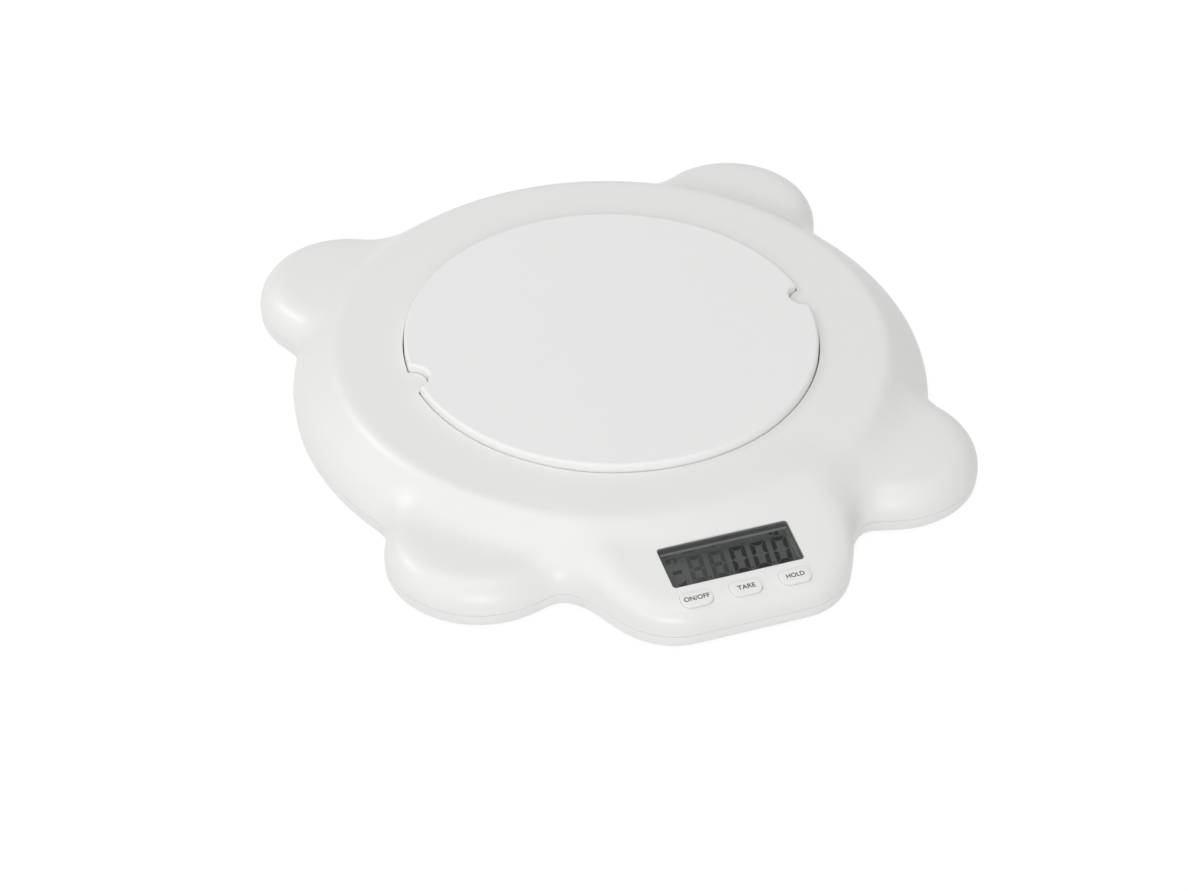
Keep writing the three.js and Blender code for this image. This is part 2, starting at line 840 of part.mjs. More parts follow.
function platformSolid() {
  const arc = [0, 30, 60, 90].map((angle) => [
    platformRadius - platform.edgeRadius + platform.edgeRadius * Math.sin(rad(angle)),
    platformTop - platform.edgeRadius + platform.edgeRadius * Math.cos(rad(angle)),
  ]);
  const skirtBottom = platformTop - platform.skirtDepth;
  const inside = platformRadius - platform.skirtWall;
  const profile = [
    [0, plateBottom],
    [inside, plateBottom],
    [inside, skirtBottom],
    [platformRadius, skirtBottom],
    ...arc.reverse(),
    [0, platformTop],
  ];
  const ribBottom = plateBottom - platform.ribDepth;
  const ribs = [];
  const ribReach = inside + platform.skirtWall / 2 - platform.hubRadius;
  for (let index = 0; index < platform.ribCount; index += 1) {
    const rib = block(
      ribReach,
      platform.ribWall,
      ribBottom,
      plateBottom + seat,
      platform.hubRadius + ribReach / 2,
      0,
    );
    ribs.push(rib.rotate([0, 0, (360 * (index + 1 / 2)) / platform.ribCount]));
  }
  const ring = rod(platform.ribRing, ribBottom, plateBottom + seat, 0, 0, sides.ring);
  const ringHollow = rod(platform.ribRing - platform.ribWall, 0, platformTop, 0, 0, sides.ring);
  const hub = rod(platform.hubRadius, ribBottom, plateBottom + seat, 0, 0, sides.disc);
  const hubHollow = rod(platform.hubRadius - platform.ribWall, 0, plateBottom, 0, 0, sides.disc);
  const bosses = platformScrewPlaces.map(([x, y]) => {
    return rod(platform.bossRadius, carrierTop + seat, plateBottom + seat, x, y);
  });
  const edge = rod(platformRadius - platform.edgeRadius, skirtBottom, plateBottom + seat, 0, 0, sides.rim);
  const notchWalls = notchSides.map((side) => {
    return rod(
      platform.notchRadius + platform.skirtWall,
      skirtBottom,
      plateBottom + seat,
      side * notchCentre,
      0,
      sides.disc,
    ).intersect(edge);
  });
  const notches = notchSides.map((side) => {
    return rod(platform.notchRadius, 0, platformTop + overrun, side * notchCentre, 0, sides.disc);
  });
  const pilots = platformScrewPlaces.map(([x, y]) => {
    return rod(platformScrew.pilotRadius, 0, carrierTop + platformScrew.length - overrun, x, y, sides.hole);
  });
  const webs = join([...ribs, ring.subtract(ringHollow), hub.subtract(hubHollow)]);
  return cut(join([revolve(profile), webs, ...bosses, ...notchWalls]), [...notches, ...pilots]);
}

// Carrier: hub with four arms that end in round pads under the platform's bosses

function carrierSolid() {
  const arms = carrier.armAngles.map((angle) => {
    return block(
      2 * platform.screwRadius,
      carrier.armWidth,
      carrierBottom,
      carrierTop,
    ).rotate([0, 0, angle]);
  });
  const pads = platformScrewPlaces.map(([x, y]) => rod(carrier.padRadius, carrierBottom, carrierTop, x, y));
  const hub = rod(carrier.hubRadius, carrierBottom, carrierTop, 0, 0, sides.disc);
  const tongue = block(
    spacerX + spacer.length / 2,
    carrier.armWidth,
    carrierBottom,
    carrierTop,
    (spacerX + spacer.length / 2) / 2,
    0,
  );
  const holes = platformScrewPlaces.map(([x, y]) => {
    return rod(carrier.holeRadius, 0, platformTop, x, y, sides.hole);
  });
  const boltHoles = boltOffsets.map((offset) => {
    return rod(spacer.holeRadius, 0, platformTop, offset, 0, sides.hole);
  });
  const lightening = rod(cell.holePitch / 2, 0, platformTop, -boltX + cell.holePitch, 0);
  return cut(join([hub, tongue, ...arms, ...pads]), [...holes, ...boltHoles, lightening]);
}

// Load cell: bar with a double bore across it and two threaded holes at each end

function cellSolid() {
  const bar = block(cell.length, cell.width, cellBottom, cellTop);
  const middle = (cellBottom + cellTop) / 2;
  const near = -cell.width / 2 - overrun;
  const bores = [-1, 1].map((side) => {
    return rodAlongY(cell.boreRadius, near, -near, (side * cell.boreSpacing) / 2, middle);
  });
  const slotHeight = cell.boreRadius * cell.slotShare;
  const slot = block(
    cell.boreSpacing,
    cell.width + 2 * overrun,
    middle - slotHeight / 2,
    middle + slotHeight / 2,
  );
  const baseHoles = boltOffsets.map((offset) => {
    return rod(cell.holeRadius, 0, cellBottom + cell.holeDepth, -offset, 0, sides.hole);
  });
  const topHoles = boltOffsets.map((offset) => {
    return rod(cell.holeRadius, cellTop - cell.holeDepth, platformTop, offset, 0, sides.hole);
  });
  return cut(bar, [...bores, slot, ...baseHoles, ...topHoles]);
}

function spacerSolid(side, bottom) {
  const plate = block(spacer.length, spacer.width, bottom, bottom + spacer.height, side * spacerX, 0);
  return cut(plate, boltOffsets.map((offset) => {
    return rod(spacer.holeRadius, 0, platformTop, side * offset, 0, sides.hole);
  }));
}

// Silicone coat over the gauges, a sleeve round the middle of the cell
function gaugeCoat() {
  const gap = seat;
  const outer = block(
    cell.coatLength,
    cell.width + 2 * (gap + cell.coatWall),
    cellBottom - gap - cell.coatWall,
    cellTop + gap + cell.coatWall,
  );
  return outer.subtract(block(
    cell.coatLength + 2 * overrun,
    cell.width + 2 * gap,
    cellBottom - gap,
    cellTop + gap,
  ));
}

const cellBoltHeadTop = footStandoff + cellBolt.headHeight + clearance;
const baseBolt = { ...cellBolt, length: cellBottom + cellBolt.grip - cellBoltHeadTop };
const topBolt = { ...cellBolt, length: carrierTop + seat - cellTop + cellBolt.grip };

function baseBoltSolid(offset) {
  return screwSolid(baseBolt, cellBoltHeadTop - seat, -offset, 0);
}

function topBoltSolid(offset) {
  const upright = screwSolid(topBolt, 0, 0, 0);
  return upright.rotate([180, 0, 0]).translate([offset, 0, carrierTop + seat]);
}

// Battery bay: cells, door, springs and contact plates

const doorHalfDepth = bayWidth / 2 + door.rest;
const doorHalfWidth = bayLength / 2 + door.rest;
const doorPinReach = doorHalfWidth + door.pinLength;
const hingeY = bay.y + doorHalfDepth - door.knuckleRadius;
const hingeZ = footStandoff + door.knuckleRadius;
const batterySides = [-1, 1];

function doorSolid() {
  const low = footStandoff;
  const plate = block(
    2 * doorHalfWidth,
    2 * doorHalfDepth - door.knuckleRadius,
    low,
    doorTop,
    0,
    bay.y - door.knuckleRadius / 2,
  );
  const knuckle = rodAlongX(door.knuckleRadius, -doorHalfWidth, doorHalfWidth, hingeY, hingeZ);
  const pins = rodAlongX(door.pinRadius, -doorPinReach, doorPinReach, hingeY, hingeZ);
  const gripY = bay.y - doorHalfDepth + door.gripRadius / 2;
  const grip = rod(door.gripRadius, low - overrun, low + door.thickness / 2, 0, gripY, sides.disc);
  const ridges = [0, 1, 2].map((row) => {
    const y = gripY - (1 - row) * door.gripRadius * gripShares.pitch;
    const ridgeWidth = door.gripRadius * gripShares.width;
    return block(door.gripRadius, ridgeWidth, low, low + door.thickness * gripShares.rise, 0, y);
  });
  return join([plate, knuckle, pins]).subtract(grip).add(join(ridges));
}

function batterySolid(side) {
  const negative = -side * (battery.length / 2);
  const centreX = -side * ((bay.plateRoom + battery.nubLength - bay.springRoom) / 2);
  const profile = [
    [0, 0],
    [battery.radius - battery.edge, 0],
    [battery.radius, battery.edge],
    [battery.radius, battery.length - battery.edge],
    [battery.radius - battery.edge, battery.length],
    [battery.nubRadius, battery.length],
    [battery.nubRadius, battery.length + battery.nubLength - seat],
    [0, battery.length + battery.nubLength - seat],
  ];
  const upright = revolve(profile, sides.battery);
  const laid = upright.rotate([0, side * 90, 0]);
  return laid.translate([centreX + negative, bay.y + side * batteryOffset, batteryHeight]);
}

function contactPlate(side, end) {
  const inner = end * (bayLength / 2 - seat);
  const outer = inner - end * contact.thickness;
  const x = (inner + outer) / 2;
  const y = bay.y + side * batteryOffset;
  const low = batteryHeight - contact.height / 2;
  return block(contact.thickness, contact.width, low, low + contact.height, x, y);
}

function positiveContact(side) {
  const end = side;
  const face = end * (bayLength / 2 - seat - contact.thickness);
  const tip = face - end * contact.dimple;
  const y = bay.y + side * batteryOffset;
  const ends = [face + (end * contact.thickness) / 2, tip].sort((a, b) => a - b);
  return contactPlate(side, end).add(rodAlongX(
    contact.dimpleRadius,
    ends[0],
    ends[1],
    y,
    batteryHeight,
    sides.hole,
  ));
}

// A conical spring: one unbroken wire from the contact plate to the battery's base
class CoilCurve extends THREE.Curve {
  constructor(start, end, y, z) {
    super();
    Object.assign(this, { start, end, y, z });
  }

  getPoint(share, target = new THREE.Vector3()) {
    const turn = 2 * Math.PI * coil.turns * share;
    const radius = coil.radius * (1 - coil.taperShare * share);
    const x = this.start + (this.end - this.start) * share;
    return target.set(x, this.y + radius * Math.cos(turn), this.z + radius * Math.sin(turn));
  }
}

function coilSpring(side) {
  const end = -side;
  const y = bay.y + side * batteryOffset;
  const start = end * (bayLength / 2 - seat - contact.thickness);
  const batteryFace = end * (bayLength / 2 - bay.springRoom);
  const tip = batteryFace + end * (coil.wire + seat);
  const curve = new CoilCurve(start, tip, y, batteryHeight);
  const section = new THREE.Shape();
  for (let corner = 0; corner < coil.sides; corner += 1) {
    const angle = (2 * Math.PI * corner) / coil.sides;
    const x = coil.wire * Math.cos(angle);
    const height = coil.wire * Math.sin(angle);
    if (corner === 0) {
      section.moveTo(x, height);
    } else {
      section.lineTo(x, height);
    }
  }
  const geometry = new THREE.ExtrudeGeometry(
    section,
    { steps: coil.turns * coil.steps, extrudePath: curve },
  );
  return contactPlate(side, end).add(toSolid(geometry));
}

// Display: lens, liquid crystal glass, frame and contact strip, in the panel frame

function lensSolid() {
  const width = lens.width - 2 * lens.fit;
  const height = lens.height - 2 * lens.fit;
  const corner = lens.corner - lens.fit;
  return slab(roundedRectangle(width, height, corner, corner), -lens.thickness, 0);
}

function glassSolid() {
  const half = glass.thickness / 2;
  const back = block(glass.width, glass.height, -glass.depth - glass.thickness, -glass.depth - half);
  const front = block(
    glass.width,
    glass.height - glass.step,
    -glass.depth - half - seat / 2,
    -glass.depth,
    0,
    -glass.step / 2,
  );
  return back.add(front);
}

function frameSolid() {
  const bottom = -board.depth + seat;
  const outer = block(frame.width, frame.height, bottom, -frame.top);
  const pocket = block(
    glass.width + 2 * clearance,
    glass.height + 2 * clearance,
    bottom - overrun,
    -glass.depth + clearance,
  );
  const view = block(lens.width - lens.ledge, lens.height - lens.ledge, bottom, 0);
  const seatHeight = glass.depth + glass.thickness + seat;
  const sills = [-1, 1].map((side) => {
    const width = (glass.width - zebra.length) / 2;
    return block(
      width,
      glass.height / 2,
      bottom,
      -seatHeight,
      (side * (glass.width - width)) / 2 + side * clearance * 2,
      0,
    );
  });
  return cut(outer, [pocket, view]).add(join(sills));
}

function zebraSolid() {
  const low = -board.depth + seat;
  const high = -glass.depth - glass.thickness - seat;
  return block(zebra.length, zebra.width, low, high, 0, glass.height / 2 - zebra.width);
}

function boardSolid() {
  const shape = new THREE.Shape();
  shape.moveTo(-board.frontHalfWidth, -board.front);
  shape.lineTo(board.frontHalfWidth, -board.front);
  shape.lineTo(board.frontHalfWidth, -board.step);
  shape.lineTo(board.rearHalfWidth, -board.step);
  shape.lineTo(board.rearHalfWidth, board.rear);
  shape.lineTo(-board.rearHalfWidth, board.rear);
  shape.lineTo(-board.rearHalfWidth, -board.step);
  shape.lineTo(-board.frontHalfWidth, -board.step);
  const plate = slab(shape, -boardBottom, -board.depth);
  return cut(plate, boardPostPlaces.map(([x, y]) => {
    return rod(boardScrew.pilotRadius, -ringHeight, 0, x, y, sides.hole);
  }));
}

function boardScrewSolid(x, y) {
  return screwSolid(boardScrew, -boardBottom - seat, x, y);
}

function chipSolid() {
  const profile = [
    [0, -boardBottom - seat - chip.height],
    [chip.radius * chip.topShare, -boardBottom - seat - chip.height * chip.edgeShare],
    [chip.radius, -boardBottom - seat],
    [0, -boardBottom - seat],
  ];
  return revolve(profile, sides.boss, chip.x, chip.y);
}

// Buttons: caps with side ears and a stem, on tact switches with their plungers

const tactTop = -board.depth + seat + tact.bodyHeight + tact.capHeight;

function tactSolid(x) {
  const low = -board.depth + seat;
  const body = block(tact.size, tact.size, low, low + tact.bodyHeight, x, -button.forward);
  const plate = block(
    tact.size * tact.plateShare,
    tact.size * tact.plateShare,
    low + tact.bodyHeight - seat,
    tactTop,
    x,
    -button.forward,
  );
  const holeLow = tactTop - tact.plungerDepth - button.travel - clearance;
  return body.add(plate).subtract(rod(tact.plungerRadius + clearance, holeLow, 0, x, -button.forward));
}

function plungerSolid(x) {
  return rod(
    tact.plungerRadius,
    tactTop - tact.plungerDepth,
    tactTop + tact.plungerProud,
    x,
    -button.forward,
  );
}

function capSolid(x) {
  const shoulder = button.proud - button.edge;
  const body = slab(buttonOutline(0), -button.bottom - button.earThickness, shoulder);
  const steps = [1 / 2, 1].map((share) => {
    const inset = button.edge * share * share;
    const low = shoulder - seat;
    return slab(buttonOutline(-inset), low, shoulder + button.edge * share);
  });
  const ears = block(
    button.width + 2 * button.ear,
    button.earHeight,
    -button.bottom - button.earThickness,
    -button.bottom,
    0,
    -button.forward,
  );
  const stemLow = tactTop + tact.plungerProud + seat;
  const hollow = slab(
    buttonOutline(-button.ear),
    -button.bottom - button.earThickness - overrun,
    -button.edge,
  );
  const stem = rod(button.stemRadius, stemLow, 0, 0, -button.forward);
  return join([body, ...steps, ears]).subtract(hollow).add(stem).translate([x, 0, 0]);
}

// Feet

function footSolid(x, y) {
  const top = footStandoff + foot.recess - seat;
  const profile = [
    [0, 0],
    [foot.radius - foot.edge, 0],
    [foot.radius, foot.edge],
    [foot.radius, top],
    [0, top],
  ];
  return revolve(profile, sides.disc, x, y);
}

// Leads: tubes on routes laid over the floor ribs, from the cell and from the bay to the board

function leadSolid(points, radius) {
  const curve = new THREE.CatmullRomCurve3(points, false, 'centripetal');
  const section = new THREE.Shape();
  for (let corner = 0; corner < lead.sides; corner += 1) {
    const angle = (2 * Math.PI * corner) / lead.sides;
    if (corner === 0) {
      section.moveTo(radius * Math.cos(angle), radius * Math.sin(angle));
    } else {
      section.lineTo(radius * Math.cos(angle), radius * Math.sin(angle));
    }
  }
  return toSolid(new THREE.ExtrudeGeometry(section, { steps: 4 * points.length, extrudePath: curve }));
}

const leadRoute = {
  lift: 1.6,
  straight: 5,
  boardGap: 0.4,
  cellExitX: -6,
  cellSideX: -26,
  floorY: 62,
  riseY: 126,
  boardX: -24,
  boardY: 11,
  batteryX: 46,
  batteryStartX: 22,
  batteryBoardX: 26,
};

// The last points of a lead: straight up to the underside of the board
function leadEnd(x) {
  return [leadRoute.straight, 0].map((below) => {
    return panelPoint(x, leadRoute.boardY, -boardBottom - leadRoute.boardGap - below);
  });
}

function cellLead() {
  const overFloor = floorTop + floorRib.height + leadRoute.lift + lead.cellRadius;
  const exitY = -cell.width / 2 - seat - cell.coatWall - clearance;
  const middle = (cellBottom + cellTop) / 2;
  return leadSolid([
    new THREE.Vector3(leadRoute.cellExitX, exitY, middle),
    new THREE.Vector3(leadRoute.cellExitX, exitY - leadRoute.straight, middle),
    new THREE.Vector3(leadRoute.cellSideX, -leadRoute.floorY, overFloor),
    new THREE.Vector3(leadRoute.cellSideX, -leadRoute.riseY, overFloor),
    ...leadEnd(leadRoute.boardX),
  ], lead.cellRadius);
}

function batteryLead() {
  const overFloor = floorTop + floorRib.height + leadRoute.lift + lead.batteryRadius;
  const bayFront = bay.y - bayWidth / 2 - bay.wall - clearance;
  const exitHeight = bayRoofInside - wall;
  return leadSolid([
    new THREE.Vector3(leadRoute.batteryStartX, bayFront, exitHeight),
    new THREE.Vector3(leadRoute.batteryStartX, bayFront - leadRoute.straight, exitHeight),
    new THREE.Vector3(leadRoute.batteryX, cell.width, overFloor),
    new THREE.Vector3(leadRoute.batteryX, -leadRoute.floorY, overFloor),
    new THREE.Vector3(leadRoute.batteryBoardX, -leadRoute.riseY, overFloor),
    ...leadEnd(leadRoute.batteryBoardX),
  ], lead.batteryRadius);
}

// Scene graph

const scale = new THREE.Group();
const panelGroup = new THREE.Group();
panelGroup.applyMatrix4(panelMatrix);
scale.add(panelGroup);

function place(name, solid, finish, parent = scale) {
  const mesh = new THREE.Mesh(toGeometry(solid), material(finish));
  mesh.name = name;
  parent.add(mesh);
}

place('top_cover', topCover(), 'whiteShell');
place('bottom_cover', bottomCover(), 'whiteShell');
place('platform', platformSolid(), 'whiteSatin');
place('platform_carrier', carrierSolid(), 'zincPlate');
place('load_cell', cellSolid(), 'aluminium');
place('cell_base_spacer', spacerSolid(-1, baseSpacerBottom), 'steel');
place('cell_top_spacer', spacerSolid(1, topSpacerBottom), 'steel');
place('strain_gauge_cover', gaugeCoat(), 'silicone');
boltOffsets.forEach((offset, index) => {
  place(`cell_base_bolt_${index + 1}`, baseBoltSolid(offset), 'steel');
  place(`cell_top_bolt_${index + 1}`, topBoltSolid(offset), 'steel');
});
platformScrewPlaces.forEach(([x, y], index) => {
  const headTop = carrierBottom - seat;
  place(`platform_screw_${index + 1}`, screwSolid(platformScrew, headTop, x, y), 'steel');
});
coverScrewPlaces.forEach(([x, y], index) => {
  place(`cover_screw_${index + 1}`, screwSolid(coverScrew, coverScrewHeadTop - seat, x, y), 'steel');
});
const footNames = ['front_left_foot', 'front_right_foot', 'rear_left_foot', 'rear_right_foot'];
footPlaces.forEach(([x, y], index) => place(footNames[index], footSolid(x, y), 'rubber'));

place('battery_door', doorSolid(), 'whiteShell');
batterySides.forEach((side, index) => {
  place(`battery_${index + 1}`, batterySolid(side), 'batteryLabel');
  place(`battery_spring_${index + 1}`, coilSpring(side), 'nickel');
  place(`battery_contact_${index + 1}`, positiveContact(side), 'nickel');
});
place('cell_lead', cellLead(), 'cableGrey');
place('battery_lead', batteryLead(), 'cableBlack');

place('display_lens', lensSolid(), 'smokeLens', panelGroup);
place('lcd_glass', glassSolid(), 'lcd', panelGroup);
place('lcd_frame', frameSolid(), 'whiteSatin', panelGroup);
place('zebra_strip', zebraSolid(), 'elastomer', panelGroup);
place('circuit_board', boardSolid(), 'boardGreen', panelGroup);
place('controller_chip', chipSolid(), 'blackResin', panelGroup);
boardPostPlaces.forEach(([x, y], index) => {
  place(`board_screw_${index + 1}`, boardScrewSolid(x, y), 'steel', panelGroup);
});
buttonNames.forEach((name, index) => {
  const x = buttonPlaces[index];
  place(`${name}_button`, capSolid(x), 'buttonWhite', panelGroup);
  place(`${name}_switch`, tactSolid(x), 'blackPlastic', panelGroup);
  place(`${name}_plunger`, plungerSolid(x), 'blackPlastic', panelGroup);
});

// The origin goes under the middle of the footprint
scale.position.y = (outline(0, 0) - outline(Math.PI, 0)) / 2;

const group = new THREE.Group();
group.add(scale);
group.name = 'baby_weighing_scale';

export default group;
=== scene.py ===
"""The looks of a digital baby weighing scale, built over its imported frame.

A white moulded housing with four paws and a sloped front lobe, a round weighing platform, a smoked
display window and three keys. Everything is in metres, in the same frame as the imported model.
"""

import math

import bmesh
import bpy
import numpy as np
from mathutils import Matrix, Vector


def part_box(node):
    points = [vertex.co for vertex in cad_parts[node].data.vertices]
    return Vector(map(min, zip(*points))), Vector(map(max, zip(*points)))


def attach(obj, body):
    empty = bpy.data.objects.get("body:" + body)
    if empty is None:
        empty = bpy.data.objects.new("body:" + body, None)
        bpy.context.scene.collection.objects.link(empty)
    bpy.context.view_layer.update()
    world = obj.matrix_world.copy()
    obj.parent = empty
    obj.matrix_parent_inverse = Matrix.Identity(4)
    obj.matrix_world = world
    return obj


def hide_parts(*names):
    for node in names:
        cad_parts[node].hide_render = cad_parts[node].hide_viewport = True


bl_info = {
    "name": "Baby weighing scale looks",
    "version": (1, 0, 0),
    "blender": (4, 5, 0),
    "location": "3D View > Sidebar > Scale",
    "description": "Builds the visible pieces and finishes of a digital baby weighing scale",
    "category": "Object",
}

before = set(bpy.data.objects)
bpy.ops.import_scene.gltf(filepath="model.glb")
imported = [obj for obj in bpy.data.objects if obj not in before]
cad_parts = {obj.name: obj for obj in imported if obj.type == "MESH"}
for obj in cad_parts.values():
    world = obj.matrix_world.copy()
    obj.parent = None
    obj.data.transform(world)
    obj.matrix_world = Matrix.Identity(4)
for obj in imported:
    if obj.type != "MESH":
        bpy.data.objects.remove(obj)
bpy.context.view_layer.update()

MM = 0.001
WEIGHING_AXIS = (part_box("platform")[0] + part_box("platform")[1]) / 2
AXIS_Y = WEIGHING_AXIS.y

# What still counts as the same place: for corners, and for the middle of a face or an edge
HAIR = 1e-6
NEAR = 1e-5

# The four corners about the weighing axis: -1 or 1 in X, and -1 at the front or 1 at the rear
CORNERS = [(side, end) for side in (-1, 1) for end in (-1, 1)]

# Heights above the floor
RING_HEIGHT = 33 * MM
PARTING_HEIGHT = 8.4 * MM
FLOOR_UNDERSIDE = 2 * MM
FLOOR_TOP = 4.5 * MM
WALL = 2.5 * MM

# Housing skin: blends between its round body, paws, lobe and roof
SHOULDER_BLEND = 3.2 * MM
FLANK_BLEND = 7.2 * MM
PAW_BLEND = 8.9 * MM
PAW_EDGE_BLEND = 14.7 * MM
PAW_CROWN_RADIUS = 510 * MM
LOBE_ROOT = 120 * MM
LOBE_FLARE = 35 * MM
LOBE_EDGE_BLEND = 10 * MM
ROOT_RADIUS = 132 * MM
ROOT_SLOPE = math.radians(32)
ROOT_SHOULDER_BLEND = 6 * MM
ROOT_BLEND = 5 * MM
TRIM_BLEND = 8 * MM
TRIM_LIFT = 6 * MM
ROOF_BLEND = 1 * MM
SKIN_SEARCH = 220 * MM
SKIN_HALVINGS = 30

# Well round the platform, and the tabs that reach into the platform's notches
WELL_RADIUS = 100.55 * MM
WELL_LIP = 9 * MM
WELL_RIM_ROUND = 0.45 * MM
NOTCH_CENTRE = 101.5 * MM
NOTCH_RADIUS = 8.5 * MM
NOTCH_SOFT = 1.8 * MM
TAB_RADIUS = 7.95 * MM
TAB_THICKNESS = 2.5 * MM

# Sections of the housing round its axis, in degrees: start, end and step of each stretch of one
# half, the turns about a tab's own middle, and the sections at a tab's flanks
SECTION_STEPS = (
    (0, 10, 1),
    (10, 38, 0.42),
    (38, 66, 0.5),
    (66, 84, 1),
    (96, 114, 1),
    (114, 154, 0.55),
    (154, 180, 1),
)
TAB_TURNS = np.arange(-82, 83, 4.0)
TAB_FLANKS = (84.9, 85.4, 94.6, 95.1)

# Elevations, in degrees, at which rays from inside the wall look for its outside and its lining.
# They are closest together where the ring turns down into the flank
SKIN_ELEVATIONS = np.concatenate(
    [
        [86, 78, 70, 63, 57, 52, 48.5],
        np.arange(46, 41, -0.8),
        np.arange(41, 33, -0.42),
        np.arange(33, 24, -0.8),
        np.arange(24, 0.4, -0.55),
        [0.25],
    ]
)
LINING_ELEVATIONS = (0, 2, 4.5, 7.5, 11, 15, 20, 26, 33, 40, 60, 90)

# Panel on the lobe: display and keys, in the panel's own frame
PANEL_DISTANCE = 157.8 * MM
PANEL_DROP = 8.1 * MM
PANEL_TILT = math.radians(10.5)
WINDOW_SIZE = (63.8 * MM, 23.6 * MM)
WINDOW_CORNER = 1.6 * MM
WINDOW_FIT = 0.25 * MM
WINDOW_THICKNESS = 1.4 * MM
WINDOW_LEDGE = 0.9 * MM
GLASS_DEPTH = 5 * MM
KEY_SIZE = (15.2 * MM, 8.2 * MM)
KEY_CORNERS = (2.3 * MM, 3.9 * MM)
KEY_PLACES = {"power": -23.9 * MM, "tare": 0.0, "hold": 23.9 * MM}
KEY_FORWARD = 20.3 * MM
KEY_GAP = 0.16 * MM

# Underside: the paws' feet, the cover's screws and the battery bay
FOOT_PLACES = {"front_left": (-1, -1), "front_right": (1, -1), "rear_left": (-1, 1), "rear_right": (1, 1)}
FOOT_DISTANCE = 153 * MM
SCREW_DISTANCE = 127 * MM
BAY_MIDDLE = 56 * MM
BAY_LENGTH = 49.8 * MM
BAY_WIDTH = 22.4 * MM
BAY_ROOF = 14.85 * MM
DOOR_REST = 2.2 * MM
DOOR_THICKNESS = 1.8 * MM
KNUCKLE_RADIUS = 1.6 * MM


def linear(hex_colour):
    """A colour written as sRGB hex, as the linear values that a shader takes."""
    shares = [int(hex_colour[place : place + 2], 16) / 255 for place in (1, 3, 5)]
    return tuple(s / 12.92 if s <= 0.04045 else ((s + 0.055) / 1.055) ** 2.4 for s in shares)


# Sizes and colours that a user would change


def length(name, description, millimetres):
    return bpy.props.FloatProperty(
        name=name,
        description=description,
        default=millimetres * MM,
        min=0.0,
        unit="LENGTH",
        precision=5,
    )


def colour(name, description, hex_colour):
    return bpy.props.FloatVectorProperty(
        name=name,
        description=description,
        default=linear(hex_colour),
        size=3,
        min=0.0,
        max=1.0,
        subtype="COLOR",
    )


class HousingSizes(bpy.types.PropertyGroup):
    body_radius: length("Body radius", "Radius of the round body, without its paws", 154.3)
    shoulder_radius: length("Shoulder radius", "Where the flat ring turns down into the flank", 133.8)
    flank_slope: bpy.props.FloatProperty(
        name="Flank slope",
        description="Slope of the flank under the ring",
        default=math.radians(42),
        subtype="ANGLE",
    )
    front_paw_radius: length("Front paw radius", "Radius of the two front paws", 43.8)
    front_paw_distance: length("Front paw distance", "From the weighing axis to a front paw", 143.8)
    front_paw_rise: length("Front paw rise", "Height of a front paw over the parting line", 14.4)
    rear_paw_radius: length("Rear paw radius", "Radius of the two rear paws", 43.0)
    rear_paw_distance: length("Rear paw distance", "From the weighing axis to a rear paw", 145.0)
    rear_paw_rise: length("Rear paw rise", "Height of a rear paw over the parting line", 15.1)
    lobe_half_width: length("Lobe half width", "Half the width of the display lobe", 57.3)
    lobe_reach: length("Lobe reach", "From the weighing axis to the lobe's front", 187.3)
    lobe_corner: length("Lobe corner", "Corner radius of the lobe, seen from above", 30.3)


class PlatformSizes(bpy.types.PropertyGroup):
    radius: length("Radius", "Radius of the weighing platform", 100.0)
    proud: length("Height over the ring", "How far the platform stands over the ring", 3.7)
    edge_round: length("Edge round", "Rounding of the platform's upper edge", 1.6)
    depth: length("Skirt depth", "Height of the platform's edge wall", 7.6)


class KeySizes(bpy.types.PropertyGroup):
    proud: length("Height over the panel", "How far a key stands over the panel", 0.6)
    edge_round: length("Edge round", "Rounding of a key's upper edge", 0.5)
    letter_height: length("Letter height", "Height of the capitals on the keys", 2.5)


class ScaleColours(bpy.types.PropertyGroup):
    housing: colour("Housing", "Semi-gloss white of the moulded covers", "#F1F1EF")
    platform: colour("Platform", "Satin white of the weighing platform", "#F6F6F5")
    keys: colour("Keys", "Satin white of the keys", "#F1F1EF")
    lettering: colour("Lettering", "Dark grey of the printed words on the keys", "#17191B")
    window: colour("Window tint", "Smoke tint of the display window", "#26292B")


# Small helpers for modelling


def only(piece):
    """Selects one piece and nothing else, and makes it active."""
    bpy.ops.object.select_all(action="DESELECT")
    piece.select_set(True)
    bpy.context.view_layer.objects.active = piece


def added(name):
    """The piece that the last operator added, under its own name."""
    piece = bpy.context.active_object
    piece.name = name
    piece.data.name = name
    return piece


def pick(piece, kind, test):
    """In edit mode, selects only the faces or edges that a test names by their middle."""
    bpy.ops.mesh.select_mode(type=kind)
    bpy.ops.mesh.select_all(action="DESELECT")
    mesh = bmesh.from_edit_mesh(piece.data)
    parts = mesh.faces if kind == "FACE" else mesh.edges
    for part in parts:
        middle = sum((corner.co for corner in part.verts), Vector()) / len(part.verts)
        part.select_set(test(part, middle))
    mesh.select_flush_mode()
    bmesh.update_edit_mesh(piece.data)


def upright(edge, middle):
    """Whether an edge runs up through a piece, as a block's corners do."""
    return abs(edge.verts[0].co.z - edge.verts[1].co.z) > 1 * MM


def topmost(height):
    """A test for the edges that lie at a height or over it."""
    return lambda edge, middle: all(corner.co.z > height - HAIR for corner in edge.verts)


def round_edges(piece, test, radius, segments, **options):
    """In edit mode, rounds the edges that a test names."""
    pick(piece, "EDGE", test)
    bpy.ops.mesh.bevel(offset=radius, segments=segments, affect="EDGES", **options)


def settle(piece, matrix=None):
    """Puts a piece in its place and leaves the place in its mesh, with the object at the origin."""
    if matrix is not None:
        piece.matrix_world = matrix @ piece.matrix_world
    only(piece)
    bpy.ops.object.transform_apply(location=True, rotation=True, scale=True)
    return piece


